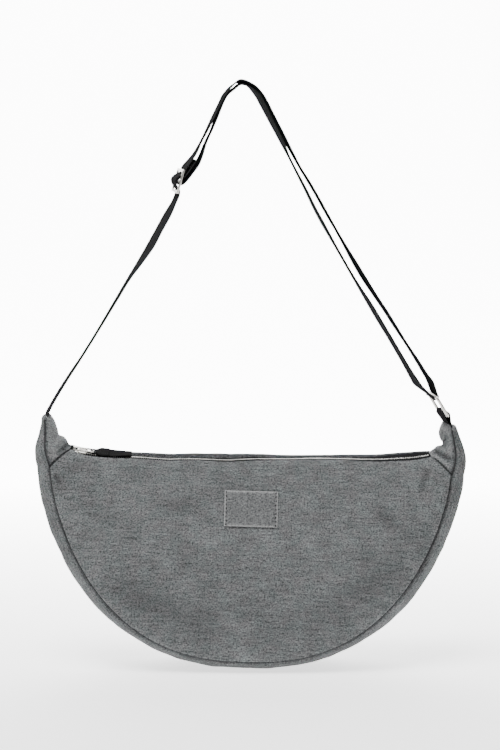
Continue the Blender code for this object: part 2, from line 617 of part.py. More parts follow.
def slider_mesh():
    """Body and bridge as one solid: an arch 3 mm wide on a 10.5 mm wide plate."""
    xs = [-6.5, -4.9, 4.9, 6.5]
    ys = [-5.2, -1.5, 1.5, 5.2]
    levels = [0.0, 1.5, 4.3, 5.5]
    keep = {(i, j, 0) for i in range(3) for j in range(3)}
    keep |= {(0, 1, 1), (2, 1, 1), (0, 1, 2), (1, 1, 2), (2, 1, 2)}
    points, index, faces = [], {}, []

    def at(i, j, k):
        if (i, j, k) not in index:
            index[(i, j, k)] = len(points)
            points.append((xs[i], ys[j], levels[k]))
        return index[(i, j, k)]

    for i, j, k in sorted(keep):
        quads = [((-1, 0, 0), [(0, 0, 0), (0, 0, 1), (0, 1, 1), (0, 1, 0)]),
                 ((1, 0, 0), [(1, 0, 0), (1, 1, 0), (1, 1, 1), (1, 0, 1)]),
                 ((0, -1, 0), [(0, 0, 0), (1, 0, 0), (1, 0, 1), (0, 0, 1)]),
                 ((0, 1, 0), [(0, 1, 0), (0, 1, 1), (1, 1, 1), (1, 1, 0)]),
                 ((0, 0, -1), [(0, 0, 0), (0, 1, 0), (1, 1, 0), (1, 0, 0)]),
                 ((0, 0, 1), [(0, 0, 1), (1, 0, 1), (1, 1, 1), (0, 1, 1)])]
        for way, corners in quads:
            if (i + way[0], j + way[1], k + way[2]) not in keep:
                faces.append(tuple(at(i + a, j + b, k + c) for a, b, c in corners))
    return np.array(points), faces


def ring_mesh(middle, bar, rail):
    """A round wire bent to a rectangle with rounded corners."""
    a, b, radius = RING_BAR / 2, RING_RAIL / 2, RING_CORNER
    centres = [(a - radius, b - radius, 0), (-(a - radius), b - radius, 90),
               (-(a - radius), -(b - radius), 180), (a - radius, -(b - radius), 270)]
    path = []
    for cx, cy, start in centres:
        for angle in np.radians(start + np.linspace(0, 90, 5)):
            path.append((cx + radius * math.cos(angle), cy + radius * math.sin(angle)))
    path = np.array(path)
    ahead = unit(np.roll(path, -1, 0) - np.roll(path, 1, 0))
    side = np.stack([ahead[:, 1], -ahead[:, 0]], -1)
    normal = np.cross(bar, rail)
    rings, sides = [], 8
    for p, s in zip(path, side):
        for k in range(sides):
            turn = 2 * math.pi * k / sides
            flat = p + s * RING_WIRE / 2 * math.cos(turn)
            rings.append(middle + bar * flat[0] + rail * flat[1] + normal * RING_WIRE / 2 * math.sin(turn))
    n = len(path)
    faces = [(i * sides + k, ((i + 1) % n) * sides + k, ((i + 1) % n) * sides + (k + 1) % sides,
              i * sides + (k + 1) % sides) for i in range(n) for k in range(sides)]
    return np.array(rings), faces


main()
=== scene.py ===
"""Belt bag: washed grey canvas crescent on a black webbing strap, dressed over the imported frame."""
import math

import bmesh
import bpy
import numpy as np
from mathutils import Matrix, Vector, noise
from mathutils.bvhtree import BVHTree


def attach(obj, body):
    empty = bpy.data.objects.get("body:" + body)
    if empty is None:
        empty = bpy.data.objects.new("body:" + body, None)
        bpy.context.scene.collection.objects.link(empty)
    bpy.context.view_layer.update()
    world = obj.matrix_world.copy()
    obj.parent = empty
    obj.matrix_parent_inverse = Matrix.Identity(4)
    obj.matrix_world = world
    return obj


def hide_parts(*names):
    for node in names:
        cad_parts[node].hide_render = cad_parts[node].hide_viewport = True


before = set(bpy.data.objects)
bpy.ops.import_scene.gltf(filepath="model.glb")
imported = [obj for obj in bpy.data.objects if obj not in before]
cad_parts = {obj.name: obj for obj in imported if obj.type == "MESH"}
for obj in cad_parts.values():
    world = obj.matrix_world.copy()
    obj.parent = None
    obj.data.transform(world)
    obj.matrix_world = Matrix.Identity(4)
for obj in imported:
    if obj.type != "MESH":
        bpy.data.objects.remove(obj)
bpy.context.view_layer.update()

# Sizes in mm, angles in degrees. The bag's own frame has its origin midway between the panel corners.
BAG_X, STRAP_DROP, BAG_TILT = 9.9, 357.8, 1.2
HALF_WIDTH, PANEL_DEPTH, HORN_HEIGHT = 188.0, 180.0, 43.5
SIDE_POWER, DROP_POWER = 2.45, 1.6
CORNER_HALF, BOTTOM_HALF, TIP_HALF = 22.0, 40.0, 18.0
ZIP_HALF_LENGTH, ZIP_HALF_GAP = 170.5, 9.0
BULGE = 23.0
GUSSET_SIDE, GUSSET_BOTTOM, TIP_LEFT, TIP_RIGHT = 13.5, 9.5, 4.4, 5.8
WALL = 1.3
WEB_WIDTH, WEB_THICK = 25.0, 1.4
RING_WIRE, RING_RAIL, RING_TURN, RING_DIP, TUCK_TURN = 3.0, 22.0, 12, 5, 6
ADJ_THICK, ADJ_STEP, ADJ_TURN = 2.0, 10.0, 12
SLIDER_X, SLIDER_Z, SLIDER_SLOPE, PIVOT_X, PIVOT_Z = -161.5, 10.47, -7.14, -1.6, 3.1
PATCH_W, PATCH_H, PATCH_X, PATCH_Z = 50.0, 32.0, 1.2, -34.5
FLOOR = -546.6

# Cloth: how far and how wide it pulls in at a seam, and how dark the painted shade in the seam and in the
# fold hollows is
GROOVE, CORNER_GROOVE, TAB_GROOVE = (2.3, 1.9), (1.5, 1.4), (0.9, 1.5)
SEAM_SHADE, SEAM_SHADE_WIDTH, FOLD_SHADE, FOLD_DEPTH = 0.95, 1.15, 0.8, 2.4
THINNED, REACH, WELD = 5.0, 9, 0.00001
HEM_ROLL, TIP_ROLL, ALLOWANCE_WIDTH, ALLOWANCE_THICK, ALLOWANCE_DROP = 1.5, 2.6, 9.0, 0.9, 2.2
CANVAS_DARK, CANVAS_LIGHT = (0.015, 0.0158, 0.0162), (0.157, 0.162, 0.164)
SUEDE_DARK, SUEDE_LIGHT = (0.021, 0.022, 0.0225), (0.152, 0.156, 0.157)

# Thread: stitches along, across and high; the bar tacks' half width and pitch
PATCH_STITCH, TACK_STITCH, TACK_HALF, TACK_PITCH = (1.0, 0.55, 1.7), (1.5, 0.5, 0.34), 9.5, 1.7

# The strap's lean over its crest, in shares of HALF_WIDTH, and where each layer turns over
CREST_LEAN, CREST_MIDDLE, CREST_REACH, TURN_REACH = 0.08, -0.01, 0.11, 0.02
OVER_TURNS, BACK_TURNS = -0.085, 0.01

# The pull's ribbon, measured from the pull's far window
WINDOW, COLLAR_START, COLLAR_END, RIBBON_LIFT = 14.1, 2.6, 15.2, 0.0022
RIBBON_THICK, COLLAR_HALF, COLLAR_RISE = 1.15, 4.9, 2.5

# Camera, paper and lights, in metres and watts
CAMERA_AWAY, CAMERA_X, CAMERA_Z, CAMERA_DIP = 2.0, 0.0094, -0.060, 6.0
SENSOR, PHOTO_ROWS, PIXEL = 36.0, 750, 0.00094
SWEEP_NEAR, SWEEP_FLAT, SWEEP_CURVE, SWEEP_TOP, SWEEP_HALF = -3.0, 1.2, 1.0, 4.0, 4.0
PAPER_GLOW, SKY = 10.0, 0.22
KEY_SIZE, KEY_POWER, FILL_SIZE, FILL_POWER = 1.1, 92, 1.4, 2.5

COLUMNS, ROWS, HORN_STEPS, CORNER_STEPS, ACROSS = 320, 96, 40, 20, 41
TOOTH_PITCH, STITCH_PITCH, STITCH_INSET = 1.75, 3.6, 1.9

# Heights along x of the front edge, the back edge and the back tape's upper line
FRONT_EDGE = [(-170.5, 15.0), (-163, 11.8), (-155, 9.2), (-144, 7.8), (-132, 7.1), (-121, 6.9),
              (-110, 7.0), (-98, 6.5), (-87, 5.9), (-76, 5.5), (-65, 6.1), (-53, 6.4), (-42, 6.1),
              (-31, 5.7), (-20, 5.7), (-8, 6.5), (3, 7.2), (14, 7.8), (26, 8.2), (37, 8.4), (48, 8.8),
              (59, 9.4), (71, 9.5), (93, 9.5), (105, 9.0), (116, 8.9), (127, 9.1), (138, 9.7),
              (150, 10.5), (161, 12.2), (170.5, 15.0)]
BACK_EDGE = [(-170.5, 16.8), (-160, 14.6), (-142, 12.2), (-125, 11.2), (-110, 10.8), (-98, 10.6),
             (-87, 10.3), (-76, 10.0), (-65, 10.4), (-53, 11.0), (-42, 10.9), (-31, 11.3), (-20, 11.1),
             (-8, 11.5), (14, 11.5), (26, 11.1), (48, 11.4), (71, 12.0), (93, 12.8), (116, 13.4),
             (127, 14.2), (138, 15.4), (150, 16.5), (161, 17.5), (170.5, 18.0)]
TAPE_LINE = [(-170.5, 13.6), (-155, 11.0), (-142, 9.5), (-121, 8.3), (-98, 7.4), (-76, 6.6), (-42, 7.4),
             (-20, 7.6), (3, 9.0), (26, 8.4), (48, 9.1), (71, 9.8), (93, 10.1), (116, 11.6), (127, 12.7),
             (138, 14.1), (150, 15.3), (161, 16.4), (170.5, 16.8)]

# Horn seams and crests: (x over HALF_WIDTH, z over HORN_HEIGHT)
HORN_LEFT = [(-1.0277, 1.000), (-1.0245, 0.690), (-1.0234, 0.345), (-1.0000, 0.000)]
HORN_RIGHT = [(0.9975, 0.945), (1.0106, 0.690), (1.0191, 0.345), (1.0000, 0.000)]
CREST_LEFT = [(-0.8963, 0.414), (-0.9282, 0.524), (-0.9638, 0.621), (-0.9702, 0.724),
              (-0.9862, 0.908), (-1.0064, 1.034)]
CREST_RIGHT = [(0.8936, 0.402), (0.9229, 0.520), (0.9574, 0.589), (0.9500, 0.701),
               (0.9479, 0.862), (0.9553, 1.034)]

# Strap route: (x from BAG_X over HALF_WIDTH, z over STRAP_DROP, degrees the front edge turns to +x)
RISE = [
    (-1.0214, -0.9123, 1), (-1.0234, -0.8888, 5), (-1.0215, -0.8622, 9), (-1.0018, -0.8385, 8),
    (-0.9547, -0.7962, 7), (-0.9033, -0.7539, 6), (-0.8496, -0.7116, 5), (-0.7737, -0.6484, 5),
    (-0.7011, -0.5853, 6), (-0.6532, -0.5434, 7), (-0.6050, -0.5015, 8), (-0.5506, -0.4596, 14),
    (-0.4989, -0.4179, 19), (-0.4555, -0.3762, 18), (-0.4116, -0.3345, 18),
]
OVER = [
    (-0.2792, -0.1790, 9), (-0.2472, -0.1479, 5), (-0.2169, -0.1170, 6), (-0.1887, -0.0860, 7),
    (-0.1500, -0.0449, 7), (-0.1297, -0.0243, 7), (-0.0950, -0.0030, 4), (-0.0500, 0.0106, 3),
    (0.0120, -0.0030, 5), (0.0497, -0.0243, 8), (0.0734, -0.0449, 9), (0.1144, -0.0860, 9),
    (0.1567, -0.1273, 8), (0.1991, -0.1686, 5), (0.2418, -0.2100, 3), (0.2903, -0.2514, 4),
    (0.3366, -0.2930, 4), (0.3802, -0.3345, 4), (0.4260, -0.3762, 3), (0.4716, -0.4179, 5),
    (0.5178, -0.4596, 9), (0.5657, -0.5015, 10), (0.6173, -0.5434, 8), (0.6713, -0.5853, 7),
    (0.7218, -0.6274, 6), (0.7737, -0.6695, 4), (0.8261, -0.7116, 6), (0.8700, -0.7490, 8),
    (0.8961, -0.7698, 11),
]
BACK = [
    (0.8420, -0.7840, 15), (0.8229, -0.7698, 14), (0.7805, -0.7327, 10), (0.7333, -0.6906, 9),
    (0.6856, -0.6484, 9), (0.6370, -0.6064, 10), (0.5895, -0.5644, 9), (0.5395, -0.5224, 5),
    (0.4920, -0.4806, 3), (0.4462, -0.4388, 3), (0.4006, -0.3970, 4), (0.3558, -0.3553, 6),
    (0.3135, -0.3137, 5), (0.2751, -0.2722, 4), (0.2341, -0.2307, 3), (0.1938, -0.1893, 2),
    (0.1560, -0.1479, 7), (0.1360, -0.1273, 8), (0.0950, -0.0860, 9), (0.0542, -0.0449, 9),
    (0.0305, -0.0243, 8), (-0.0120, -0.0032, 5), (-0.0500, 0.0030, 3), (-0.0820, -0.0088, 4),
    (-0.1175, -0.0243, 7), (-0.1395, -0.0449, 7), (-0.1711, -0.0860, 7), (-0.1949, -0.1170, 5),
    (-0.2224, -0.1479, 6), (-0.2439, -0.1790, 9),
]
RING_AT, RING_TO, TAB_FOOT = (0.9069, -0.8055), (0.9707, -0.8581), (1.0090, -0.9089)
ADJ_AT, ADJ_UP = (-0.3590, -0.2465), (0.270, 0.963)

# The strap at the adjuster: (along over ADJ_STEP, out over ADJ_THICK + WEB_THICK)
THROUGH = [
    (-2.100, -0.471), (-1.400, -0.765), (-1.020, -0.706), (-0.790, -0.500), (-0.600, 0.118),
    (-0.360, 0.882), (0.000, 1.324), (0.330, 0.882), (0.540, 0.279), (0.800, -0.529), (1.060, -0.706),
    (1.400, -0.706),
]
HOME = [
    (1.960, -3.794), (1.080, -2.824), (0.350, -1.941), (-0.050, -1.294), (-0.250, -0.676),
    (-0.290, 0.000), (-0.230, 0.441), (-0.080, 0.735), (0.100, 0.735), (0.240, 0.441), (0.310, 0.000),
    (0.370, -0.441), (0.540, -0.941), (0.800, -1.294), (1.200, -1.765), (1.700, -2.235),
    (2.300, -2.794),
]

# Soft folds of the panels: (x, z) ends, half width and lift in mm; a hollow has a negative lift
FRONT_FOLDS = [
    ((-166, 2), (-176, -8), 5.0, 1.2),
    ((-181, -9), (-178, -14), 3.2, -2.0),
    ((-172, -16), (-160, -30), 6.0, 0.7),
    ((166, 2), (160, -14), 3.4, -1.3),
    ((172, 2), (170, -10), 3.6, 0.8),
    ((-160, -40), (-120, -30), 16.0, 0.9),
    ((-60, -20), (-130, -24), 8.0, 0.7),
    ((60, -14), (150, -22), 9.0, 0.8),
    ((-110, -8), (-60, -34), 7.0, -0.7),
    ((96, -8), (128, -40), 8.0, -0.6),
    ((-20, -70), (90, -78), 20.0, 0.8),
    ((-120, -110), (-40, -140), 18.0, -1.0),
    ((60, -140), (130, -96), 18.0, -0.8),
]
BACK_FOLDS = [
    ((-150, -20), (-60, -34), 12.0, 1.2),
    ((40, -26), (150, -18), 11.0, 1.2),
    ((-100, -90), (70, -110), 22.0, -1.4),
    ((-40, -14), (10, -50), 9.0, -0.8),
]
TAB_FOLDS = {
    -1: [((-166, 24), (-178, 12), 3.0, -1.6), ((-172, 30), (-184, 18), 3.4, 1.2),
         ((-176, 34), (-178, 44), 2.6, -1.0)],
    1: [((174, 20), (186, 14), 2.2, -2.0), ((172, 30), (180, 40), 4.0, 1.4),
        ((180, 26), (184, 44), 2.4, -0.9)],
}


# Curves and surfaces

def unit(v):
    v = np.asarray(v, float)
    return v / np.maximum(np.linalg.norm(v, axis=-1, keepdims=True), 1e-9)


def smooth(t):
    t = np.clip(t, 0.0, 1.0)
    return t * t * (3 - 2 * t)


def spline(points, per):
    p = np.asarray(points, float)
    p = np.concatenate([[2 * p[0] - p[1]], p, [2 * p[-1] - p[-2]]])
    out = []
    for i in range(1, len(p) - 2):
        t = np.linspace(0, 1, per, endpoint=False)[:, None]
        a, b, c, d = p[i - 1], p[i], p[i + 1], p[i + 2]
        out.append(0.5 * (2 * b + (c - a) * t + (2 * a - 5 * b + 4 * c - d) * t ** 2
                          + (3 * b - a - 3 * c + d) * t ** 3))
    out.append(p[-2][None])
    return np.concatenate(out)


def run_length(points):
    return np.concatenate([[0], np.cumsum(np.linalg.norm(np.diff(points, axis=0), axis=1))])


def across_length(grid):
    """Distance along each row of a grid, from its first point."""
    return np.cumsum(np.linalg.norm(np.diff(grid, axis=1, prepend=grid[:, :1]), axis=-1), 1)


def resample(points, count):
    run = run_length(points)
    at = np.linspace(0, run[-1], count)
    return np.stack([np.interp(at, run, points[:, k]) for k in range(points.shape[1])], -1)


def eased(table, x):
    """A smooth curve through a table of (x, value)."""
    fine = spline(table, 12)
    return np.interp(x, fine[:, 0], fine[:, 1])


def averaged(values):
    """Moving average with the ends held."""
    kernel = np.hanning(2 * REACH + 3)[1:-1]
    before = 2 * values[0] - values[REACH:0:-1]
    after = 2 * values[-1] - values[-2:-REACH - 2:-1]
    padded = np.concatenate([before, values, after])
    return np.convolve(padded, kernel / kernel.sum(), "valid")


def normals_of(grid):
    return unit(np.cross(np.gradient(grid, axis=0), np.gradient(grid, axis=1)))


def to_row(points):
    p = np.asarray(points, float)
    c, s = math.cos(math.radians(BAG_TILT)), math.sin(math.radians(BAG_TILT))
    return np.stack([p[..., 0] * c + p[..., 2] * s + BAG_X, p[..., 1],
                     -p[..., 0] * s + p[..., 2] * c - STRAP_DROP], -1)


def in_bag(rows):
    return [(x * HALF_WIDTH, z * HORN_HEIGHT) for x, z in rows]


def in_row(x, z):
    return BAG_X + x * HALF_WIDTH, z * STRAP_DROP


def seam_line():
    t = np.linspace(0, math.pi, 4000)
    body = np.stack([-HALF_WIDTH * np.sign(np.cos(t)) * np.abs(np.cos(t)) ** (2 / SIDE_POWER),
                     -PANEL_DEPTH * np.abs(np.sin(t)) ** (2 / DROP_POWER)], -1)
    left = resample(spline(in_bag(HORN_LEFT), 20), HORN_STEPS + 1)
    right = resample(spline(in_bag(HORN_RIGHT), 20)[::-1], HORN_STEPS + 1)
    return np.concatenate([left[:-1], resample(body, COLUMNS + 1), right[1:]])


def seam_half(z):
    down = CORNER_HALF + (BOTTOM_HALF - CORNER_HALF) * smooth(-z / (0.83 * PANEL_DEPTH))
    up = CORNER_HALF + (TIP_HALF - CORNER_HALF) * smooth(z / HORN_HEIGHT)
    return np.where(z < 0, down, up)


SEAM = seam_line()
FIRST, LAST = HORN_STEPS, HORN_STEPS + COLUMNS


def top_edge(side):
    left = np.array([(-HALF_WIDTH, CORNER_HALF, 0.0)])
    right = np.array([(HALF_WIDTH, CORNER_HALF, 0.0)])
    x = np.linspace(-ZIP_HALF_LENGTH, ZIP_HALF_LENGTH, COLUMNS + 1 - 2 * CORNER_STEPS)
    wave = np.array([noise.noise(Vector((v * 0.035, side * 3.0, 0.0))) for v in x])
    gap = ZIP_HALF_GAP + 0.5 * wave * smooth((ZIP_HALF_LENGTH - np.abs(x)) / 20)
    line = np.stack([x, gap, eased(FRONT_EDGE if side < 0 else BACK_EDGE, x)], -1)
    t = np.linspace(0, 1, CORNER_STEPS + 1)[:, None]
    bow = 1.6 * np.sin(math.pi * t) * np.array([[0.0, 1.0, 0.5]])
    up = left + (line[0] - left) * t + bow
    down = line[-1] + (right - line[-1]) * t + bow
    edge = np.concatenate([up[:-1], line, down[1:]])
    edge[:, 1] *= side
    return edge


def fold_lift(x, z, folds):
    """Height of the soft folds at the points (x, z)."""
    lift = np.zeros_like(x)
    for (x0, z0), (x1, z1), width, depth in folds:
        dx, dz = x1 - x0, z1 - z0
        t = np.clip(((x - x0) * dx + (z - z0) * dz) / (dx * dx + dz * dz), 0, 1)
        away = np.hypot(x - x0 - t * dx, z - z0 - t * dz)
        lift += depth * np.exp(-(away / width) ** 2)
    return lift


def cloth_noise(x, z, size, seed):
    flat = [noise.noise(Vector((a / size, b / size, seed))) for a, b in zip(x.ravel(), z.ravel())]
    return np.array(flat).reshape(x.shape)


def groove(distance, depth=GROOVE[0], width=GROOVE[1]):
    """How far cloth pulls in beside a seam."""
    return -depth * np.exp(-(distance / width) ** 2)


# Painted shade along a seam, where its groove is shadowed
def seam_painted_shade(distance):
    return SEAM_SHADE * np.exp(-(distance / SEAM_SHADE_WIDTH) ** 2)


# Painted shade in fold hollows, darker as the hollow deepens
def fold_painted_shade(lift):
    return FOLD_SHADE * np.clip(-lift / FOLD_DEPTH, 0, 1)


def panel_grid(side):
    top = top_edge(side)
    seam = SEAM[FIRST:LAST + 1]
    low = np.stack([seam[:, 0], side * seam_half(seam[:, 1]), seam[:, 1]], -1)
    t = np.linspace(0, 1, ROWS)
    v = (0.55 * t + 0.45 * (1 - (1 - t) ** 2.0)) * (0.25 + 0.75 * t) ** 0.35
    v = v / v[-1]
    grid = top[:, None] + (low - top)[:, None] * v[None, :, None]
    chord = np.linalg.norm(low - top, axis=1)
    swell = BULGE * (chord / chord.max()) ** 0.9
    grid[..., 1] += side * swell[:, None] * (4 * v * (1 - v))[None] ** 0.75
    n = normals_of(grid)
    n *= np.sign(n[..., 1:2] * side + 1e-9)
    x, z = grid[..., 0], grid[..., 2]
    to_seam = (1 - v)[None] * chord[:, None]
    to_top = v[None] * chord[:, None]
    inner = smooth(to_seam / 16) * smooth(to_top / 10)
    folds = fold_lift(x, z, FRONT_FOLDS if side < 0 else BACK_FOLDS)
    lift = folds * smooth(to_seam / 8)
    lift += (1.3 * cloth_noise(x, z, 46.0, side) + 0.5 * cloth_noise(x, z, 19.0, side + 7)) * inner
    ripple = cloth_noise(run_length(seam)[:, None] + 0 * x, 0 * x, 7.0, side + 3)
    lift += 0.45 * ripple * np.exp(-to_seam / 9) * smooth(to_seam / 3)
    # Painted shade along the lower seam and in the fold hollows
    crease = np.maximum(fold_painted_shade(folds), seam_painted_shade(to_seam))
    lift += groove(to_seam)
    # Painted shade also along the corner seams at the top, weaker at the right end
    for cols, strength in ((slice(0, CORNER_STEPS + 1), 1.0), (slice(COLUMNS - CORNER_STEPS, None), 0.4)):
        lift[cols] += strength * groove(to_top[cols], *CORNER_GROOVE)
        crease[cols] = np.maximum(crease[cols], strength * seam_painted_shade(to_top[cols]))
    return grid + n * lift[..., None], n, crease


def gusset_grid():
    tips = np.where(np.arange(len(SEAM)) < len(SEAM) / 2, TIP_LEFT, TIP_RIGHT)
    ahead = unit(np.gradient(SEAM, axis=0))
    out = unit(np.stack([averaged(ahead[:, 1]), -averaged(ahead[:, 0])], -1))
    half = seam_half(SEAM[:, 1])
    low = GUSSET_SIDE + (GUSSET_BOTTOM - GUSSET_SIDE) * smooth((-SEAM[:, 1] / PANEL_DEPTH - 0.56) / 0.39)
    high = GUSSET_SIDE + (tips - GUSSET_SIDE) * smooth(SEAM[:, 1] / HORN_HEIGHT)
    rise = averaged(np.where(SEAM[:, 1] < 0, low, high))
    t = np.linspace(-1, 1, ACROSS)
    v = np.sign(t) * (1 - (1 - np.abs(t)) ** 1.35)
    arch = 1 - np.abs(v) ** 3.2
    x = SEAM[:, None, 0] + out[:, None, 0] * rise[:, None] * arch
    z = SEAM[:, None, 1] + out[:, None, 1] * rise[:, None] * arch
    y = half[:, None] * v[None]
    grid = np.stack([x, y + 0 * x, z], -1)
    n = normals_of(grid)
    n *= np.sign((n * np.stack([out[:, 0], 0 * half, out[:, 1]], -1)[:, None]).sum(-1, keepdims=True) + 1e-9)
    to_seam = (1 - np.abs(v))[None] * (half + rise * 0.8)[:, None]
    along = run_length(SEAM)
    deep = 1.0 - 0.62 * smooth(SEAM[:, 1] / 12)
    lift = groove(to_seam) * deep[:, None]
    lift += 0.9 * cloth_noise(along[:, None] + 0 * x, y + 0 * x, 24.0, 5.0) * smooth(to_seam / 6)
    lift += 0.35 * cloth_noise(along[:, None] + 0 * x, y + 0 * x, 9.0, 9.0) * smooth(to_seam / 4)
    # The last value is painted shade along both seams
    return grid + n * lift[..., None], n, along, seam_painted_shade(to_seam)


def tab_grid(end):
    front, back = top_edge(-1), top_edge(1)
    if end < 0:
        seam, crest = SEAM[FIRST - 1::-1], CREST_LEFT
        f, b = front[CORNER_STEPS::-1], back[CORNER_STEPS::-1]
    else:
        seam, crest = SEAM[LAST + 1:], CREST_RIGHT
        f, b = front[-1 - CORNER_STEPS:], back[-1 - CORNER_STEPS:]
    half = seam_half(seam[:, 1])
    f = np.concatenate([f, np.stack([seam[:, 0], -half, seam[:, 1]], -1)])
    b = np.concatenate([b, np.stack([seam[:, 0], half, seam[:, 1]], -1)])
    top = resample(spline(in_bag(crest), 12), len(f))
    top = np.stack([top[:, 0], 0 * top[:, 0], top[:, 1]], -1)
    v = np.linspace(-1, 1, ACROSS)
    v = np.sign(v) * (1 - (1 - np.abs(v)) ** 1.3)
    along = np.linspace(0, 1, len(f))
    arch = 1 - np.abs(v[None]) ** (2.0 + 1.6 * along)[:, None]
    flat = f[:, None] + (b - f)[:, None] * ((v + 1) / 2)[None, :, None]
    grid = flat + (top - (f + b) / 2)[:, None] * arch[..., None]
    n = normals_of(grid)
    n *= np.sign(n[8, 20, 2])
    to_seam = (1 - np.abs(v))[None] * np.linalg.norm(b - f, axis=1)[:, None] / 2
    folds = fold_lift(grid[..., 0], grid[..., 2], TAB_FOLDS[end]) * smooth(to_seam / 6)
    lift = groove(to_seam, *TAB_GROOVE) + folds
    lift += 0.5 * cloth_noise(grid[..., 0], grid[..., 1] + grid[..., 2], 13.0, 3.0) * smooth(to_seam / 5)
    # Painted shade along the seams and in the fold hollows
    crease = np.maximum(seam_painted_shade(to_seam), fold_painted_shade(folds))
    # Painted highlight: lighter crests away from the seams and the hollows
    crease = crease - 0.16 * smooth(to_seam / 4) * (folds > -0.4)
    return grid + n * lift[..., None], n, crease


# Meshes

def add_mesh(name, points, faces, mats, uv=None, slots=None, where="bag", crease=None):
    """One object whose mesh holds its place, in metres; uv and the painted shading mask (painted shade,
    painted highlight, the patch's pale fray) have one entry for each point.
    """
    points = np.asarray(points, float)
    if where == "bag":
        points = to_row(points)
    mesh = bpy.data.meshes.new(name)
    mesh.from_pydata((points / 1000).tolist(), [], [tuple(int(i) for i in f) for f in faces])
    for mat in mats if isinstance(mats, (list, tuple)) else [mats]:
        mesh.materials.append(mat)
    if uv is not None:
        layer = mesh.uv_layers.new(name="cloth")
        index = np.zeros(len(mesh.loops), int)
        mesh.loops.foreach_get("vertex_index", index)
        layer.data.foreach_set("uv", (np.asarray(uv, float)[index] / 1000).ravel())
    if crease is not None:
        # Per-point mask: painted shade where positive; painted highlight on the end tabs and real pale fray
        # on the patch where negative
        layer = mesh.attributes.new("crease", "FLOAT", "POINT")
        layer.data.foreach_set("value", np.asarray(crease, float).ravel())
    if slots is not None:
        mesh.polygons.foreach_set("material_index", slots)
    mesh.polygons.foreach_set("use_smooth", [True] * len(mesh.polygons))
    mesh.update()
    obj = bpy.data.objects.new(name, mesh)
    bpy.context.scene.collection.objects.link(obj)
    return obj


def outward(obj):
    """Weld doubles and turn the faces outward."""
    bm = bmesh.new()
    bm.from_mesh(obj.data)
    bmesh.ops.remove_doubles(bm, verts=bm.verts, dist=WELD)
    bmesh.ops.recalc_face_normals(bm, faces=bm.faces)
    bm.to_mesh(obj.data)
    bm.free()
    return obj


def shell_faces(n, m):
    faces = []

    def at(i, j, side):
        return side * n * m + i * m + j

    for i in range(n - 1):
        for j in range(m - 1):
            faces.append((at(i, j, 0), at(i + 1, j, 0), at(i + 1, j + 1, 0), at(i, j + 1, 0)))
            faces.append((at(i, j, 1), at(i, j + 1, 1), at(i + 1, j + 1, 1), at(i + 1, j, 1)))
        for j in (0, m - 1):
            faces.append((at(i, j, 0), at(i, j, 1), at(i + 1, j, 1), at(i + 1, j, 0)))
    for j in range(m - 1):
        for i in (0, n - 1):
            faces.append((at(i, j, 0), at(i, j + 1, 0), at(i, j + 1, 1), at(i, j, 1)))
    return faces


def tube_faces(n, k):
    """Faces of n rings of k points, closed at both ends."""
    faces = [(i * k + j, i * k + (j + 1) % k, (i + 1) * k + (j + 1) % k, (i + 1) * k + j)
             for i in range(n - 1) for j in range(k)]
    return faces + [tuple(range(k)), tuple((n - 1) * k + j for j in range(k))]


def cloth_piece(name, grid, normals, uv, mat, wall=WALL, crease=None):
    run = across_length(grid)
    inset = np.minimum(run, run[:, -1:] - run)
    wall = (wall * (0.12 + 0.88 * smooth(inset / THINNED)))[..., None]
    points = np.concatenate([grid.reshape(-1, 3), (grid - normals * wall).reshape(-1, 3)])
    uv = np.concatenate([uv.reshape(-1, 2)] * 2)
    crease = np.zeros(grid.shape[:2]) if crease is None else crease
    crease = np.concatenate([crease.ravel()] * 2)
    return outward(add_mesh(name, points, shell_faces(*grid.shape[:2]), mat, uv, crease=crease))


def webbing_piece(name, path, across, mat, width=WEB_WIDTH, thick=WEB_THICK):
    """A woven band with rounded edges; its UV runs along and across in mm."""
    path, across = np.asarray(path, float), unit(across)
    along = run_length(path)
    face = unit(np.cross(np.gradient(path, axis=0), across))
    section = [(-0.5, 0.0), (-0.49, 0.38), (-0.455, 0.5), (-0.25, 0.5), (0.0, 0.5), (0.25, 0.5),
               (0.455, 0.5), (0.49, 0.38), (0.5, 0.0), (0.49, -0.38), (0.455, -0.5), (0.25, -0.5),
               (0.0, -0.5), (-0.25, -0.5), (-0.455, -0.5), (-0.49, -0.38)]
    width = np.broadcast_to(width, len(path))
    thick = np.broadcast_to(thick, len(path))
    points, uv = [], []
    for w, t in section:
        points.append(path + across * (w * width)[:, None] + face * (t * thick)[:, None])
        uv.append(np.stack([along, w * width], -1))
    points, uv = np.stack(points, 1).reshape(-1, 3), np.stack(uv, 1).reshape(-1, 2)
    return outward(add_mesh(name, points, tube_faces(len(path), len(section)), mat, uv, where="row"))


# Finishes

class Value:
    """A shader socket that can be used in sums."""

    def __init__(self, finish, socket):
        self.finish, self.socket = finish, socket

    def sum(self, operation, other, swap=False):
        pair = (other, self) if swap else (self, other)
        return self.finish.node("ShaderNodeMath", {"operation": operation}, pair)

    def __add__(self, other):
        return self.sum("ADD", other)

    def __sub__(self, other):
        return self.sum("SUBTRACT", other)

    def __rsub__(self, other):
        return self.sum("SUBTRACT", other, True)

    def __mul__(self, other):
        return self.sum("MULTIPLY", other)

    def __pow__(self, other):
        return self.sum("POWER", other)

    __radd__, __rmul__ = __add__, __mul__


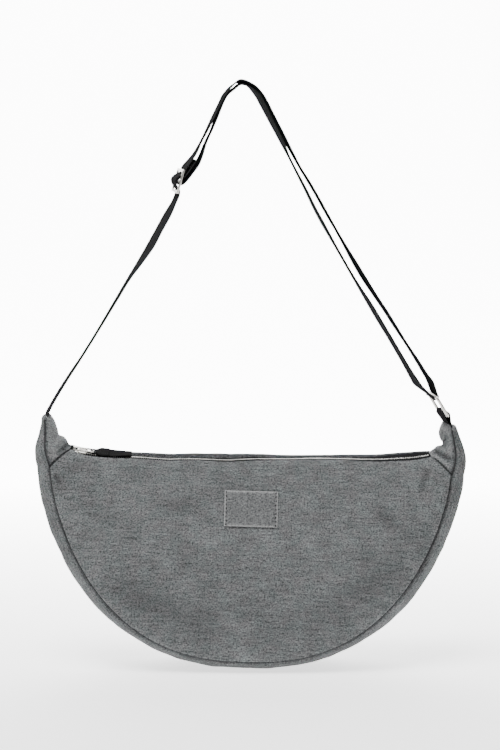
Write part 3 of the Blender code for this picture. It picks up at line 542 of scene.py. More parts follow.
class Finish:
    """A material with one Principled shader and the nodes that feed it."""

    def __init__(self, name, rough, metal=0.0, **fixed):
        self.mat = bpy.data.materials.new(name)
        self.mat.use_nodes = True
        self.tree = self.mat.node_tree
        self.shader = self.tree.nodes["Principled BSDF"]
        self.shader.inputs["Roughness"].default_value = rough
        self.shader.inputs["Metallic"].default_value = metal
        for socket, value in fixed.items():
            self.shader.inputs[socket.replace("_", " ")].default_value = value

    def node(self, kind, settings, values, out=0):
        node = self.tree.nodes.new(kind)
        for key, value in settings.items():
            if key == "stops":
                ramp = node.color_ramp
                while len(ramp.elements) < len(value):
                    ramp.elements.new(0.5)
                for element, (place, colour) in zip(ramp.elements, value):
                    element.position, element.color = place, (*colour, 1.0)
            else:
                setattr(node, key, value)
        pairs = values.items() if isinstance(values, dict) else enumerate(values)
        for key, value in pairs:
            if isinstance(value, Value):
                self.tree.links.new(value.socket, node.inputs[key])
            else:
                node.inputs[key].default_value = value
        return Value(self, node.outputs[out])

    def uv(self):
        return self.node("ShaderNodeUVMap", {"uv_map": "cloth"}, {})

    # Reads the per-point mask of painted shade, painted highlight and the patch's pale fray
    def crease(self):
        return self.node("ShaderNodeAttribute", {"attribute_name": "crease"}, {}, "Fac")

    def place(self):
        return self.node("ShaderNodeTexCoord", {}, {}, "Object")

    def part(self, vector, axis):
        return self.node("ShaderNodeSeparateXYZ", {}, [vector], axis)

    def grey(self, level):
        return self.node("ShaderNodeCombineXYZ", {}, [level] * 3)

    def stretched(self, vector, scale):
        return self.node("ShaderNodeMapping", {}, {"Vector": vector, "Scale": scale})

    def noise(self, vector, scale, detail=2.0, rough=0.5):
        return self.node("ShaderNodeTexNoise", {}, {"Vector": vector, "Scale": scale, "Detail": detail,
                                                   "Roughness": rough})

    def spread(self, value, low, high):
        """The value's stretch from low to high, brought to 0..1."""
        return self.node("ShaderNodeMapRange", {"clamp": True},
                         {"Value": value, "From Min": low, "From Max": high})

    def mix(self, a, b, share, blend="MIX"):
        return self.node("ShaderNodeMix", {"data_type": "RGBA", "blend_type": blend},
                         {"Factor": share, 6: colour(a), 7: colour(b)}, 2)

    def feed(self, socket, value):
        self.tree.links.new(value.socket, self.shader.inputs[socket])

    def bump(self, height, distance, strength):
        self.feed("Normal", self.node("ShaderNodeBump", {}, {"Height": height, "Distance": distance,
                                                            "Strength": strength}))


def colour(c):
    return c if isinstance(c, Value) or len(c) == 4 else (*c, 1.0)


def waves(finish, vector, pitch):
    """Two crossed sets of threads, pitch apart: the height of a plain weave."""
    x, y = finish.part(vector, "X"), finish.part(vector, "Y")
    turn = math.pi / pitch
    a = finish.node("ShaderNodeMath", {"operation": "SINE"}, [x * turn])
    b = finish.node("ShaderNodeMath", {"operation": "SINE"}, [y * turn])
    return a * b * 0.5 + 0.5


def canvas_finish():
    """Marled grey canvas: salt-and-pepper specks, sideways slubs, cloudy wash; painted shade in its seams and
    fold hollows, painted highlight on the end tabs' crests.
    """
    f = Finish("washed_canvas", 0.95, Specular_IOR_Level=0.05)
    uv, crease = f.uv(), f.crease()
    speck = f.noise(uv, 680, 2.0, 0.7)
    grain = f.noise(f.stretched(uv, (300.0, 900.0, 1.0)), 1.0, 2.0, 0.6)
    slub = f.noise(f.stretched(uv, (55.0, 420.0, 1.0)), 1.0, 2.0, 0.6)
    stripe = f.noise(f.stretched(uv, (420.0, 40.0, 1.0)), 1.0, 2.0, 0.6)
    cloud, patch = f.noise(uv, 17, 3.0, 0.55), f.noise(uv, 60, 3.0, 0.6)
    base = f.mix(CANVAS_DARK, CANVAS_LIGHT, f.spread(0.6 * speck + 0.25 * grain + 0.15 * slub, 0.37, 0.63))
    tint = f.mix((0.96, 1.01, 1.0), (1.02, 0.99, 0.99), f.spread(f.noise(uv, 85, 2.0), 0.35, 0.65))
    base = f.mix(base, tint, 1.0, "MULTIPLY")
    shade = (0.68 + 0.14 * f.spread(slub, 0.3, 0.7) + 0.10 * f.spread(stripe, 0.3, 0.7)
             + 0.22 * f.spread(cloud, 0.35, 0.65) + 0.20 * f.spread(patch, 0.35, 0.65))
    base = f.mix(base, f.grey(shade), 1.0, "MULTIPLY")
    # Painted shade: near-black mixed in where the mask is positive, in seams, fold hollows and under the
    # rolled tips
    base = f.mix(base, (0.012, 0.012, 0.013), f.spread(crease, 0.0, 1.05))
    # Painted highlight: pale grey mixed in where the mask is negative, on the end tabs' crests
    painted_highlight = f.spread(0.0 - crease, 0.0, 1.0) * (0.35 + 0.65 * speck)
    f.feed("Base Color", f.mix(base, (0.42, 0.43, 0.43), painted_highlight))
    f.feed("Roughness", 0.84 + 0.12 * speck)
    f.bump(waves(f, uv, 0.00062) * 0.5 + speck * 0.9 + slub * 0.6, 0.00026, 0.8)
    return f.mat


def webbing_finish(name, base, pitch):
    f = Finish(name, 0.9, Specular_IOR_Level=0.0)
    uv = f.uv()
    weave = waves(f, f.node("ShaderNodeVectorRotate", {"rotation_type": "Z_AXIS"},
                            {"Vector": uv, "Angle": 0.12}), pitch)
    thread = f.noise(f.stretched(uv, (60.0, 900.0, 1.0)), 1.0, 2.0)
    dust = f.noise(uv, 60, 3.0)
    dark = tuple(0.45 * c for c in base)
    light = tuple(2.0 * c for c in base)
    f.feed("Base Color", f.mix(dark, light, f.spread(weave * 0.5 + thread * 0.35 + dust * 0.25, 0.25, 0.85)))
    f.feed("Roughness", 0.8 + 0.15 * thread)
    f.bump(weave + thread * 0.4, 0.00025, 0.8)
    return f.mat


def metal_finish(name, base, rough):
    f = Finish(name, rough, 1.0)
    where = f.place()
    wear = f.noise(where, 160, 4.0, 0.6)
    brushed = f.noise(f.stretched(where, (300.0, 2600.0, 2600.0)), 1.0, 2.0)
    f.feed("Base Color", f.mix(tuple(0.72 * c for c in base), base, f.spread(wear, 0.35, 0.6)))
    f.feed("Roughness", rough - 0.06 + 0.16 * brushed)
    f.bump(brushed, 0.00002, 0.35)
    return f.mat


def suede_finish():
    """The patch: a paler nap, palest where its cut edges fray."""
    f = Finish("suede_patch", 0.95, Specular_IOR_Level=0.12)
    uv, crease = f.uv(), f.crease()
    nap = f.noise(uv, 640, 3.0, 0.7)
    grain = f.noise(f.stretched(uv, (300.0, 800.0, 1.0)), 1.0, 2.0)
    streak = f.noise(f.stretched(uv, (420.0, 110.0, 1.0)), 1.0, 2.0)
    cloud = f.noise(uv, 45, 3.0)
    base = f.mix(SUEDE_DARK, SUEDE_LIGHT,
                 f.spread(nap * 0.6 + grain * 0.2 + streak * 0.08 + cloud * 0.12, 0.39, 0.61))
    f.feed("Base Color", f.mix(base, (0.34, 0.34, 0.34), f.spread(0.0 - crease, 0.0, 1.0) * nap * 1.5))
    f.bump(nap + streak * 0.4, 0.0002, 0.8)
    return f.mat


def thread_finish(name, base):
    f = Finish(name, 0.75, Specular_IOR_Level=0.2)
    twist = f.noise(f.stretched(f.place(), (900.0, 900.0, 2400.0)), 1.0, 2.0)
    f.feed("Base Color", f.mix(tuple(0.5 * c for c in base), base, f.spread(twist, 0.4, 0.6)))
    f.bump(twist, 0.0001, 0.6)
    return f.mat


CANVAS = canvas_finish()
WEBBING = webbing_finish("black_webbing", (0.0125, 0.0125, 0.0128), 0.0014)
RIBBON = webbing_finish("black_ribbon", (0.0120, 0.0120, 0.0122), 0.0009)
TAPE = webbing_finish("zip_tape", (0.0095, 0.0095, 0.0100), 0.0007)
NICKEL = metal_finish("satin_nickel", (0.66, 0.64, 0.60), 0.30)
# The teeth are a darker copy of the slider's nickel: painted shade for teeth sunk between the tapes
TEETH = metal_finish("zip_teeth", (0.50, 0.49, 0.47), 0.38)
SUEDE = suede_finish()
THREAD = thread_finish("black_thread", (0.016, 0.016, 0.017))


# Camera, lights and paper

def paper_finish():
    """White paper that glows more the farther it lies behind the bag."""
    f = Finish("paper", 0.9, Base_Color=(0.8, 0.8, 0.8, 1.0), Emission_Strength=PAPER_GLOW)
    x, y = f.part(f.place(), "X"), f.part(f.place(), "Y")
    far = f.spread(y, -0.35, 1.10)
    near = f.spread(y, -0.90, -0.30)
    wide = f.spread(f.node("ShaderNodeMath", {"operation": "ABSOLUTE"}, [x]), 0.45, 1.3)
    glow = (0.02 + 0.08 * near + 0.90 * far ** 1.8) * (1 - 0.85 * wide)
    f.feed("Emission Color", f.grey(glow))
    return f.mat


def studio():
    scene = bpy.context.scene
    cam = bpy.data.cameras.new("camera")
    cam.sensor_fit, cam.sensor_width = "AUTO", SENSOR
    distance = CAMERA_AWAY / math.cos(math.radians(CAMERA_DIP))
    cam.lens = SENSOR * distance / (PHOTO_ROWS * PIXEL)
    eye = bpy.data.objects.new("camera", cam)
    eye.location = (CAMERA_X, -CAMERA_AWAY, CAMERA_Z)
    eye.rotation_euler = (math.radians(90.0 - CAMERA_DIP), 0.0, 0.0)
    scene.collection.objects.link(eye)
    scene.camera = eye

    # A pale sweep: floor in front, curving up behind
    profile = [(SWEEP_NEAR, 0.0), (SWEEP_FLAT, 0.0)]
    for a in np.linspace(0.1, math.pi / 2, 12):
        profile.append((SWEEP_FLAT + SWEEP_CURVE * math.sin(a), SWEEP_CURVE * (1.0 - math.cos(a))))
    profile += [(SWEEP_FLAT + SWEEP_CURVE, SWEEP_TOP)]
    pts = [(x * 1000, y * 1000, z * 1000 + FLOOR) for x in (-SWEEP_HALF, SWEEP_HALF) for y, z in profile]
    k = len(profile)
    faces = [(i, i + 1, k + i + 1, k + i) for i in range(k - 1)]
    sweep = add_mesh("sweep", pts, faces, paper_finish(), where="row")
    bm = bmesh.new()
    bm.from_mesh(sweep.data)
    bmesh.ops.recalc_face_normals(bm, faces=bm.faces)
    if sum(f.normal.z for f in bm.faces) < 0:
        bmesh.ops.reverse_faces(bm, faces=bm.faces)
    bm.to_mesh(sweep.data)
    bm.free()

    world = bpy.data.worlds.new("studio")
    world.use_nodes = True
    world.node_tree.nodes["Background"].inputs[0].default_value = (1, 1, 1, 1)
    world.node_tree.nodes["Background"].inputs[1].default_value = SKY
    scene.world = world

    def lamp(name, place, aim, size, power):
        data = bpy.data.lights.new(name, "AREA")
        data.shape, data.size, data.size_y, data.energy = "RECTANGLE", size, size, power
        obj = bpy.data.objects.new(name, data)
        obj.location = place
        obj.rotation_euler = (Vector(aim) - Vector(place)).to_track_quat("-Z", "Y").to_euler()
        scene.collection.objects.link(obj)

    lamp("key", (-0.4, -0.7, 1.6), (0, 0, -0.34), KEY_SIZE, KEY_POWER)
    lamp("fill", (1.4, -1.4, 0.6), (0, 0, -0.36), FILL_SIZE, FILL_POWER)


# The bag's cloth

def rolled(grid, n, uv, crease, at_start=False):
    """The cloth curls in over its own end row, so that the tip closes softly; the curled rows get painted
    shade, darker towards the curl's end.
    """
    if at_start:
        parts = rolled(grid[::-1], n[::-1], uv[::-1], crease[::-1])
        return tuple(part[::-1] for part in parts)
    ahead = unit(grid[-1] - grid[-3])
    ahead = unit(ahead - n[-1] * (ahead * n[-1]).sum(-1, keepdims=True))
    run = run_length(grid[-1])
    r = 0.2 + (TIP_ROLL - 0.2) * smooth(np.minimum(run, run[-1] - run) / 7.0)[:, None]
    rows, turned, runs = [], [], []
    for a in np.radians([20, 42, 65, 90, 115, 140, 165]):
        rows.append(grid[-1] + r * math.sin(a) * ahead - r * (1 - math.cos(a)) * n[-1])
        turned.append(n[-1] * math.cos(a) + ahead * math.sin(a))
        runs.append(uv[-1] + r * a * np.array([1.0, 0.0]))
    # Painted shade rises from 0 to 0.45 over the curled rows
    return (np.concatenate([grid, rows]), np.concatenate([n, turned]), np.concatenate([uv, runs]),
            np.concatenate([crease, np.linspace(0, 0.45, 7)[:, None] * np.ones((1, crease.shape[1]))]))


def make_cloth():
    for side, name, node in ((-1, "front_cloth", "front_panel"), (1, "back_cloth", "back_panel")):
        grid, n, crease = panel_grid(side)
        # The top edge rolls in over the zip and runs down inside as a hem
        cols = np.ones(COLUMNS + 1)
        cols[:CORNER_STEPS + 1] = np.linspace(0, 1, CORNER_STEPS + 1) ** 2
        cols[COLUMNS - CORNER_STEPS:] = np.linspace(1, 0, CORNER_STEPS + 1) ** 2
        edge, n0 = grid[:, 0], unit(n[:, 1] * 0.5 + np.array([0, 0, 0.5]))
        back = unit(grid[:, 0] - grid[:, 2])
        roll = []
        r = HEM_ROLL * cols[:, None] + 0.02
        for a in (2.2, 1.7, 1.2, 0.7, 0.3):
            roll.append(edge - n0 * r + r * (math.cos(a) * n0 + math.sin(a) * back))
        down = np.array([0, -side * 0.2, -1.0])
        leg = [roll[0] + down * depth * cols[:, None] for depth in (8.0, 5.0, 2.5)]
        extra = np.stack(leg + roll, 1)
        full = np.concatenate([extra, grid], 1)
        n_all = normals_of(full)
        n_all *= np.sign((n_all[:, 20:21] * n[:, 12:13]).sum(-1, keepdims=True))
        n_all[0], n_all[-1] = n_all[1], n_all[-2]
        # The hem and roll rows carry the top row's painted shade
        crease = np.concatenate([np.repeat(crease[:, :1], extra.shape[1], 1), crease], 1)
        uv = np.stack([full[..., 0] + 300 * side, full[..., 2] - 0.35 * side * full[..., 1]], -1)
        piece = cloth_piece(name, full, n_all, uv, CANVAS, crease=crease)
        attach(piece, "bag")
        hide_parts(node)
        if side < 0:
            make_label(grid)

    grid, n, along, crease = gusset_grid()
    across = across_length(grid)
    uv = np.stack([along[:, None] + 0 * across, across + 900], -1)
    for at_start in (True, False):
        grid, n, uv, crease = rolled(grid, n, uv, crease, at_start)
    piece = cloth_piece("gusset_cloth", grid, n, uv, CANVAS, crease=crease)
    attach(piece, "bag")
    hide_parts("gusset")

    for end, name, node in ((-1, "left_end_cloth", "end_tab_left"), (1, "right_end_cloth", "end_tab_right")):
        grid, n, crease = tab_grid(end)
        uv = np.stack([grid[..., 0], grid[..., 2] - 0.6 * np.abs(grid[..., 1]) + 1200 + 100 * end], -1)
        grid, n, uv, crease = rolled(grid, n, uv, crease)
        piece = cloth_piece(name, grid, n, uv, CANVAS, crease=crease)
        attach(piece, "bag")
        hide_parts(node)


# Repeated small pieces

def block(size, edge, at=(0, 0, 0)):
    """A small block with bevelled edges: points in mm and faces."""
    bm = bmesh.new()
    bmesh.ops.create_cube(bm, size=1.0)
    for v in bm.verts:
        v.co = Vector([c * s + o for c, s, o in zip(v.co, size, at)])
    bmesh.ops.bevel(bm, geom=bm.edges[:], offset=edge, segments=1, affect="EDGES")
    bm.verts.index_update()
    points = [tuple(v.co) for v in bm.verts]
    faces = [[v.index for v in f.verts] for f in bm.faces]
    bm.free()
    return points, faces


def joined(*parts):
    points, faces = [], []
    for p, f in parts:
        faces += [[i + len(points) for i in face] for face in f]
        points += list(p)
    return points, faces


def repeat_tree():
    """Node tree: one piece on every point, turned by the point's own angles, with a little spread."""
    tree = bpy.data.node_groups.new("repeat_piece", "GeometryNodeTree")
    face = tree.interface
    sockets = {}
    for label, kind in (("Geometry", "NodeSocketGeometry"), ("Piece", "NodeSocketObject"),
                        ("Material", "NodeSocketMaterial"), ("Spread", "NodeSocketFloat"),
                        ("Seed", "NodeSocketInt")):
        sockets[label] = face.new_socket(label, in_out="INPUT", socket_type=kind).identifier
    face.new_socket("Geometry", in_out="OUTPUT", socket_type="NodeSocketGeometry")

    def node(kind, **settings):
        n = tree.nodes.new(kind)
        for key, value in settings.items():
            setattr(n, key, value)
        return n

    start, end = node("NodeGroupInput"), node("NodeGroupOutput")
    piece = node("GeometryNodeObjectInfo")
    turn = node("GeometryNodeInputNamedAttribute", data_type="FLOAT_VECTOR")
    turn.inputs["Name"].default_value = "turn"
    euler, size = node("FunctionNodeEulerToRotation"), node("FunctionNodeRandomValue", data_type="FLOAT")
    low, high = node("ShaderNodeMath", operation="SUBTRACT"), node("ShaderNodeMath", operation="ADD")
    copy, real = node("GeometryNodeInstanceOnPoints"), node("GeometryNodeRealizeInstances")
    dress = node("GeometryNodeSetMaterial")
    low.inputs[0].default_value = high.inputs[0].default_value = 1.0
    floats = [socket for socket in size.inputs if socket.type == "VALUE"]
    link = tree.links.new
    link(start.outputs["Spread"], low.inputs[1])
    link(start.outputs["Spread"], high.inputs[1])
    link(low.outputs[0], floats[0])
    link(high.outputs[0], floats[1])
    link(start.outputs["Seed"], size.inputs["Seed"])
    link(start.outputs["Piece"], piece.inputs["Object"])
    link(turn.outputs["Attribute"], euler.inputs[0])
    link(start.outputs["Geometry"], copy.inputs["Points"])
    link(piece.outputs["Geometry"], copy.inputs["Instance"])
    link(euler.outputs[0], copy.inputs["Rotation"])
    link([socket for socket in size.outputs if socket.type == "VALUE"][0], copy.inputs["Scale"])
    link(copy.outputs[0], real.inputs[0])
    link(real.outputs[0], dress.inputs["Geometry"])
    link(start.outputs["Material"], dress.inputs["Material"])
    link(dress.outputs[0], end.inputs[0])
    return tree, sockets


REPEAT, SOCKETS = repeat_tree()


def repeated(name, shape, places, axes, mat, spread, seed, where="bag"):
    """Copies of a small piece (mm, around the origin) at each place; axes are (x axis, z axis) pairs."""
    places = np.asarray(places, float)
    obj = add_mesh(name, places, [], [], where=where)
    ends = [to_row(places + np.array([a[k] for a in axes])) - to_row(places) if where == "bag"
            else np.array([a[k] for a in axes]) for k in (0, 1)]
    turns = []
    for x, z in zip(*map(unit, ends)):
        y = unit(np.cross(z, x))
        z = np.cross(x, y)
        turns.append(Matrix([[x[i], y[i], z[i]] for i in range(3)]).to_euler())
    layer = obj.data.attributes.new("turn", "FLOAT_VECTOR", "POINT")
    layer.data.foreach_set("vector", np.array(turns, float).ravel())
    piece = add_mesh(name + "_unit", *shape, [], where="row")
    modifier = obj.modifiers.new("repeat", "NODES")
    modifier.node_group = REPEAT
    for label, value in (("Piece", piece), ("Material", mat), ("Spread", spread), ("Seed", seed)):
        modifier[SOCKETS[label]] = value
    graph = bpy.context.evaluated_depsgraph_get()
    mesh = bpy.data.meshes.new_from_object(obj.evaluated_get(graph))
    obj.modifiers.remove(modifier)
    obj.data = mesh
    bpy.data.objects.remove(piece)
    return obj


# Zip

def tape_line(x):
    """Front edge, teeth and back line of the zip, as heights along x."""
    front, back = eased(FRONT_EDGE, x), eased(TAPE_LINE, x)
    return front, front + 0.3 * (back - front) - 0.1, back


def make_zip():
    x = np.linspace(-ZIP_HALF_LENGTH + 1.0, ZIP_HALF_LENGTH - 1.0, 260)
    front, teeth, back = tape_line(x)
    wave = 0.25 * np.array([noise.noise(Vector((v * 0.06, 5.0, 0.0))) for v in x])
    sections = {
        "front_tape": ("zip_tape_front", [
            (-8.0, front - 3.8), (-6.6, front - 2.5), (-4.6, (front + teeth) / 2 - 1.1), (-3.0, teeth - 0.25),
            (-0.55, teeth)]),
        "back_tape": ("zip_tape_back", [
            (0.55, teeth), (3.0, teeth + 0.25 * (back - teeth)), (5.2, teeth + 0.7 * (back - teeth)),
            (6.9, back - 0.2), (9.2, back + 0.3)]),
    }
    for name, (node, rows) in sections.items():
        grid = np.stack([np.stack([x, np.full_like(x, y), z + wave], -1) for y, z in rows], 1)
        n = normals_of(grid)
        n *= np.sign(n[..., 2:3])
        uv = np.stack([grid[..., 0], across_length(grid)], -1)
        piece = cloth_piece(name, grid, n, uv, TAPE, wall=0.55)
        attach(piece, "bag")
        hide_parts(node)

    tooth = joined(block((0.75, 2.8, 1.3), 0.18, (0, -1.2, 0)), block((0.9, 0.8, 1.45), 0.22, (0, 0.1, 0)))
    places, axes = [], []
    for side in (-1, 1):
        spots = np.arange(-ZIP_HALF_LENGTH + 3.0, ZIP_HALF_LENGTH - 3.0, TOOTH_PITCH)
        spots = spots + (side > 0) * TOOTH_PITCH / 2
        level = tape_line(spots)[1] + 0.25
        slope = np.gradient(level, spots)
        for u, z, d in zip(spots, level, slope):
            places.append((u, 0.3 * side, z - 0.45 * (side > 0)))
            axes.append(((-side, 0, -side * d), (-d, 0, 1)))
    piece = repeated("zip_teeth", tooth, places, axes, TEETH, 0.03, 4)
    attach(piece, "bag")
    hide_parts("zip_chain")


# Label patch

def make_label(front):
    """A bare patch laid on the front cloth, cut edges a little frayed, stitched down both sides."""
    grid = front.reshape(-1, 3)
    n, m = front.shape[:2]
    faces = [(i * m + j, (i + 1) * m + j, (i + 1) * m + j + 1, i * m + j + 1)
             for i in range(n - 1) for j in range(m - 1)]
    tree = BVHTree.FromPolygons(grid.tolist(), faces)

    def on_front(x, z, lift):
        spot, normal = tree.ray_cast(Vector((x, -150, z)), Vector((0, 1, 0)))[:2]
        normal = normal if normal.y < 0 else -normal
        return np.array(spot) + np.array(normal) * lift, np.array(normal)

    xs, zs = np.linspace(-0.5, 0.5, 71), np.linspace(-0.5, 0.5, 47)
    points, normals = np.zeros((2, len(xs), len(zs), 3))
    crease = np.zeros((len(xs), len(zs)))
    for i, u in enumerate(xs):
        for j, v in enumerate(zs):
            border = min(PATCH_W * (0.5 - abs(u)), PATCH_H * (0.5 - abs(v)))
            fray = 0.35 * noise.noise(Vector((u * 60, v * 60, 4.0))) * math.exp(-border)
            x = PATCH_X + u * (PATCH_W - 0.6) + fray
            fray = 0.35 * noise.noise(Vector((u * 70, v * 50, 9.0))) * math.exp(-border)
            z = PATCH_Z + v * (PATCH_H - 0.6) + fray
            side = PATCH_W * (0.5 - abs(u))
            sewn = math.exp(-((side - STITCH_INSET) / 1.0) ** 2)
            loft = 1.25 + 0.5 * float(smooth(border / 6)) - 0.45 * sewn
            points[i, j], normals[i, j] = on_front(x, z, loft)
            crease[i, j] = -math.exp(-border / 0.8)
    uv = np.stack([points[..., 0], points[..., 2] + 2000], -1)
    piece = cloth_piece("suede_patch", points, normals, uv, SUEDE, wall=1.0, crease=crease)
    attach(piece, "bag")
    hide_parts("label_patch")

    places, axes = [], []
    for side in (-1, 1):
        count = int((PATCH_H - 2.0) / STITCH_PITCH)
        for k in range(count + 1):
            x = PATCH_X + side * (PATCH_W / 2 - STITCH_INSET) + 0.2 * math.sin(k * 2.3)
            z = PATCH_Z + (k - count / 2) * STITCH_PITCH
            spot, normal = on_front(x, z, 1.35)
            places.append(spot)
            axes.append(((1.0, 0.0, 0.0), (0.05 * math.sin(3.1 * k), 0.0, 1.0)))
    stitches = repeated("patch_stitches", block(PATCH_STITCH, 0.24), places, axes, THREAD, 0.12, 7)
    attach(stitches, "bag")


def make_seam_allowances():
    """The cloth's turned-in edges behind the four corner seams."""
    paths = []
    for side in (-1, 1):
        edge = top_edge(side)
        paths += [(edge[3:CORNER_STEPS + 1], side), (edge[-1 - CORNER_STEPS:-3], side)]
    for k, (line, side) in enumerate(paths):
        out = unit([0.0, side, 0.45])
        ahead = unit(np.gradient(line, axis=0))
        across = np.cross(ahead, out)
        path = to_row(line - ALLOWANCE_DROP * out)
        across = to_row(line + across) - to_row(line)
        piece = webbing_piece(f"corner_allowance_{k + 1}", path, across, CANVAS, ALLOWANCE_WIDTH,
                              ALLOWANCE_THICK)
        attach(piece, "bag")


# Strap

def strap_frames():
    at, to = (np.array([x, 0, z]) for x, z in (in_row(*RING_AT), in_row(*RING_TO)))
    turn, dip = math.radians(RING_TURN), math.radians(RING_DIP)
    bar = unit([math.sin(turn), -math.cos(turn), -math.tan(dip)])
    rail = unit((to - at) - ((to - at) @ bar) * bar)
    at[1] = -rail[1] * RING_RAIL / 2
    to = at + rail * RING_RAIL
    normal = np.cross(bar, rail)
    normal *= np.sign(normal[0])
    up = unit(np.array([ADJ_UP[0], 0, ADJ_UP[1]]))
    wide = np.array([math.sin(math.radians(ADJ_TURN)), -math.cos(math.radians(ADJ_TURN)), 0])
    wide = unit(wide - (wide @ up) * up)
    out = np.cross(wide, up)
    out *= -np.sign(out[0])
    x, z = in_row(*ADJ_AT)
    return at, to, rail, bar, normal, np.array([x, 0, z]), up, wide, out


def make_strap():
    at, to, rail, bar, normal, centre, up, wide, out = strap_frames()

    def turned(rows, lean=0.0, cross=0.0):
        """Rows to path points; at the crest the web leans over from one side to the other."""
        result = []
        for x, z, turn in rows:
            crest = math.exp(-((x - CREST_MIDDLE) / CREST_REACH) ** 4)
            tilt = lean * math.tanh((x - cross) / TURN_REACH) * crest
            (x, z), t = in_row(x, z), math.radians(turn)
            result.append((x, 0.0, z, math.sin(t), -math.cos(t), tilt))
        return result

    def at_slide(rows):
        lift = ADJ_THICK + WEB_THICK
        return [(*(centre + up * s * ADJ_STEP + out * n * lift), *wide) for s, n in rows]

    def wrap(bar_at, way, angles):
        r = RING_WIRE / 2 + WEB_THICK / 2 + 0.6
        return [(*(bar_at + r * (normal * math.cos(a) + rail * way * math.sin(a))), *bar)
                for a in np.radians(angles)]

    over_ring = wrap(at, 1, [-20, 20, 60, 90, 120, 160, 200])
    over = turned(OVER, CREST_LEAN, OVER_TURNS)
    back = turned(BACK, CREST_LEAN, BACK_TURNS)
    route = turned(RISE) + at_slide(THROUGH) + over + over_ring + back + at_slide(HOME)
    path = spline(route, 9)
    piece = webbing_piece("strap_webbing", path[:, :3], path[:, 3:], WEBBING)
    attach(piece, "bag")
    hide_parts("strap")
    bar_tack("strap_end_stitches", path[:, :3], path[:, 3:], len(path) - 9)

    x, z = in_row(*TAB_FOOT)
    foot = np.array([x, 0, z])
    down = unit(foot - to)
    side = np.array([-down[2], 0, down[0]])
    straight = (math.sin(math.radians(TUCK_TURN)), -math.cos(math.radians(TUCK_TURN)), 0.0)
    legs = [[(*(foot - down * back + side * sign * (WEB_THICK / 2 + 0.3)), *straight) for back in (0, 9)]
            for sign in (1, -1)]
    under_ring = wrap(to, -1, [-10, 30, 65, 90, 115, 150, 190])
    path = spline(legs[0] + under_ring + legs[1][::-1], 12)
    piece = webbing_piece("ring_webbing", path[:, :3], path[:, 3:], WEBBING)
    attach(piece, "bag")
    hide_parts("ring_tab")
    bar_tack("ring_tab_stitches", path[:, :3], path[:, 3:], 12, rows=(0.0,))


def softened(name, node, mat, edge):
    """The node's own shape with its edges rounded."""
    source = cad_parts[node]
    obj = bpy.data.objects.new(name, source.data.copy())
    bpy.context.scene.collection.objects.link(obj)
    bm = bmesh.new()
    bm.from_mesh(obj.data)
    bmesh.ops.remove_doubles(bm, verts=bm.verts, dist=WELD)
    bmesh.ops.dissolve_limit(bm, angle_limit=math.radians(2), verts=bm.verts, edges=bm.edges)
    sharp = [e for e in bm.edges if len(e.link_faces) == 2 and e.calc_face_angle(0) > math.radians(35)]
    bmesh.ops.bevel(bm, geom=sharp, offset=edge / 1000, segments=3, profile=0.5, affect="EDGES")
    bmesh.ops.recalc_face_normals(bm, faces=bm.faces)
    bm.to_mesh(obj.data)
    bm.free()
    obj.data.materials.clear()
    obj.data.materials.append(mat)
    for face in obj.data.polygons:
        face.use_smooth, face.material_index = True, 0
    obj.data.set_sharp_from_angle(angle=math.radians(50))
    return obj


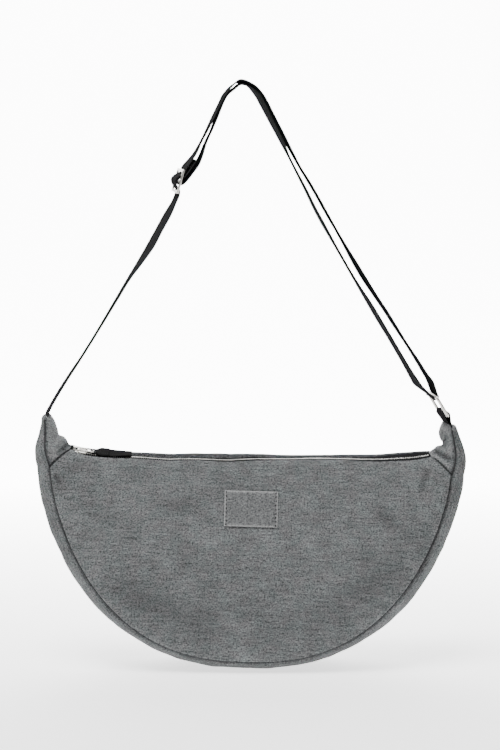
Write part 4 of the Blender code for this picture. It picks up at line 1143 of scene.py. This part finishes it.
def make_pull_ribbon():
    """The ribbon folded through the pull's far window, with a thick sewn collar."""
    seat, slope = np.array([SLIDER_X, 0.0, SLIDER_Z]), math.radians(SLIDER_SLOPE)
    ex = np.array([math.cos(slope), 0, math.sin(slope)])
    ez = np.array([-math.sin(slope), 0, math.cos(slope)])

    def on_slider(p):
        return seat + p[..., :1] * ex + p[..., 1:2] * np.array([0, 1.0, 0]) + p[..., 2:] * ez

    far = PIVOT_X + WINDOW
    along = np.array([1.5, 4.0, 7.0, 11.0, 15.0, 16.5, 23.0, 30.0, 36.0])
    apart = np.interp(along, [1.5, 4.0, 15.0, 16.5], [1.75, 1.15, 1.15, 0.7])
    bend = [(far - 1.75 * math.sin(a), 1.75 * math.cos(a)) for a in np.linspace(0.1, math.pi - 0.1, 9)]
    legs = [[(far + x, sign * h) for x, h in zip(along, apart)] for sign in (1, -1)]
    flat = spline(np.array(legs[0][::-1] + bend + legs[1]), 6)
    run = flat[:, 0] - far
    wide = np.interp(run, [1.5, 4.0, 15.0, 36.0], [3.9, 8.2, 8.2, 7.6])
    turn = np.radians(np.interp(run, [1.5, 8.0, 16.0, 36.0], [0, 48, 45, 20]))
    lift = RIBBON_LIFT * np.maximum(run, 0) ** 2
    across = np.stack([0 * turn, np.cos(turn), np.sin(turn)], -1)
    path = np.stack([flat[:, 0], -flat[:, 1] * np.sin(turn), PIVOT_Z + lift + flat[:, 1] * np.cos(turn)], -1)
    path, across = to_row(on_slider(path)), to_row(on_slider(across)) - to_row(on_slider(0 * across))
    parts = [webbing_piece("pull_ribbon", path, across, RIBBON, wide, RIBBON_THICK)]

    # Collar: a sleeve sewn round both layers
    run = np.linspace(COLLAR_START, COLLAR_END, 24)
    turn = np.radians(np.interp(run, [1.5, 8.0, 16.0], [0, 48, 45]))
    swell = 1.0 - 0.55 * np.exp(-(run - COLLAR_START) / 1.1) - 0.12 * np.exp(-(COLLAR_END - run) / 0.5)
    angles = np.linspace(0, 2 * math.pi, 25)[:-1]
    ring = []
    for r, t, w in zip(run, turn, swell):
        u = COLLAR_HALF * w * np.sign(np.cos(angles)) * np.abs(np.cos(angles)) ** 0.45
        v = COLLAR_RISE * w * np.sign(np.sin(angles)) * np.abs(np.sin(angles)) ** 0.7
        ring.append(np.stack([np.full_like(u, far + r), u * math.cos(t) - v * math.sin(t),
                              PIVOT_Z + RIBBON_LIFT * r * r + u * math.sin(t) + v * math.cos(t)], -1))
    points = on_slider(np.array(ring))
    faces = tube_faces(len(run), len(angles))
    uv = np.stack(np.broadcast_arrays(run[:, None], angles * 3.4), -1)
    parts.append(outward(add_mesh("pull_collar", points.reshape(-1, 3), faces, RIBBON, uv.reshape(-1, 2))))
    for piece in parts:
        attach(piece, "pull")
        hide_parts("pull_tab")


def make_metal():
    for name, node, body, edge in (
            ("slider_body", "zip_slider", "bag", 0.3), ("slider_pull", "zip_pull", "pull", 0.28),
            ("ring_wire", "strap_ring", "bag", 0.3), ("slide_buckle", "strap_adjuster", "bag", 0.6)):
        piece = softened(name, node, NICKEL, edge)
        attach(piece, body)
        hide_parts(node)


def bar_tack(name, path, across, index, rows=(-2.4, 0.0, 2.4)):
    """Close stitches through the webbing, in rows across it."""
    ahead, wide = unit(path[index + 1] - path[index - 1]), unit(across[index])
    face = np.cross(ahead, wide)
    places, axes = [], []
    for row in rows:
        for k, u in enumerate(np.arange(-TACK_HALF, TACK_HALF + 0.1, TACK_PITCH)):
            for side in (-1, 1):
                on = ahead * (row + 0.5 * (-1) ** k) + wide * u
                places.append(path[index] + on + face * side * WEB_THICK * 0.52)
                axes.append((wide + 0.35 * ahead * (-1) ** k, face * side))
    piece = repeated(name, block(TACK_STITCH, 0.12), places, axes, THREAD, 0.1, 11, where="row")
    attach(piece, "bag")


studio()
make_cloth()
make_seam_allowances()
make_zip()
make_strap()
make_metal()
make_pull_ribbon()
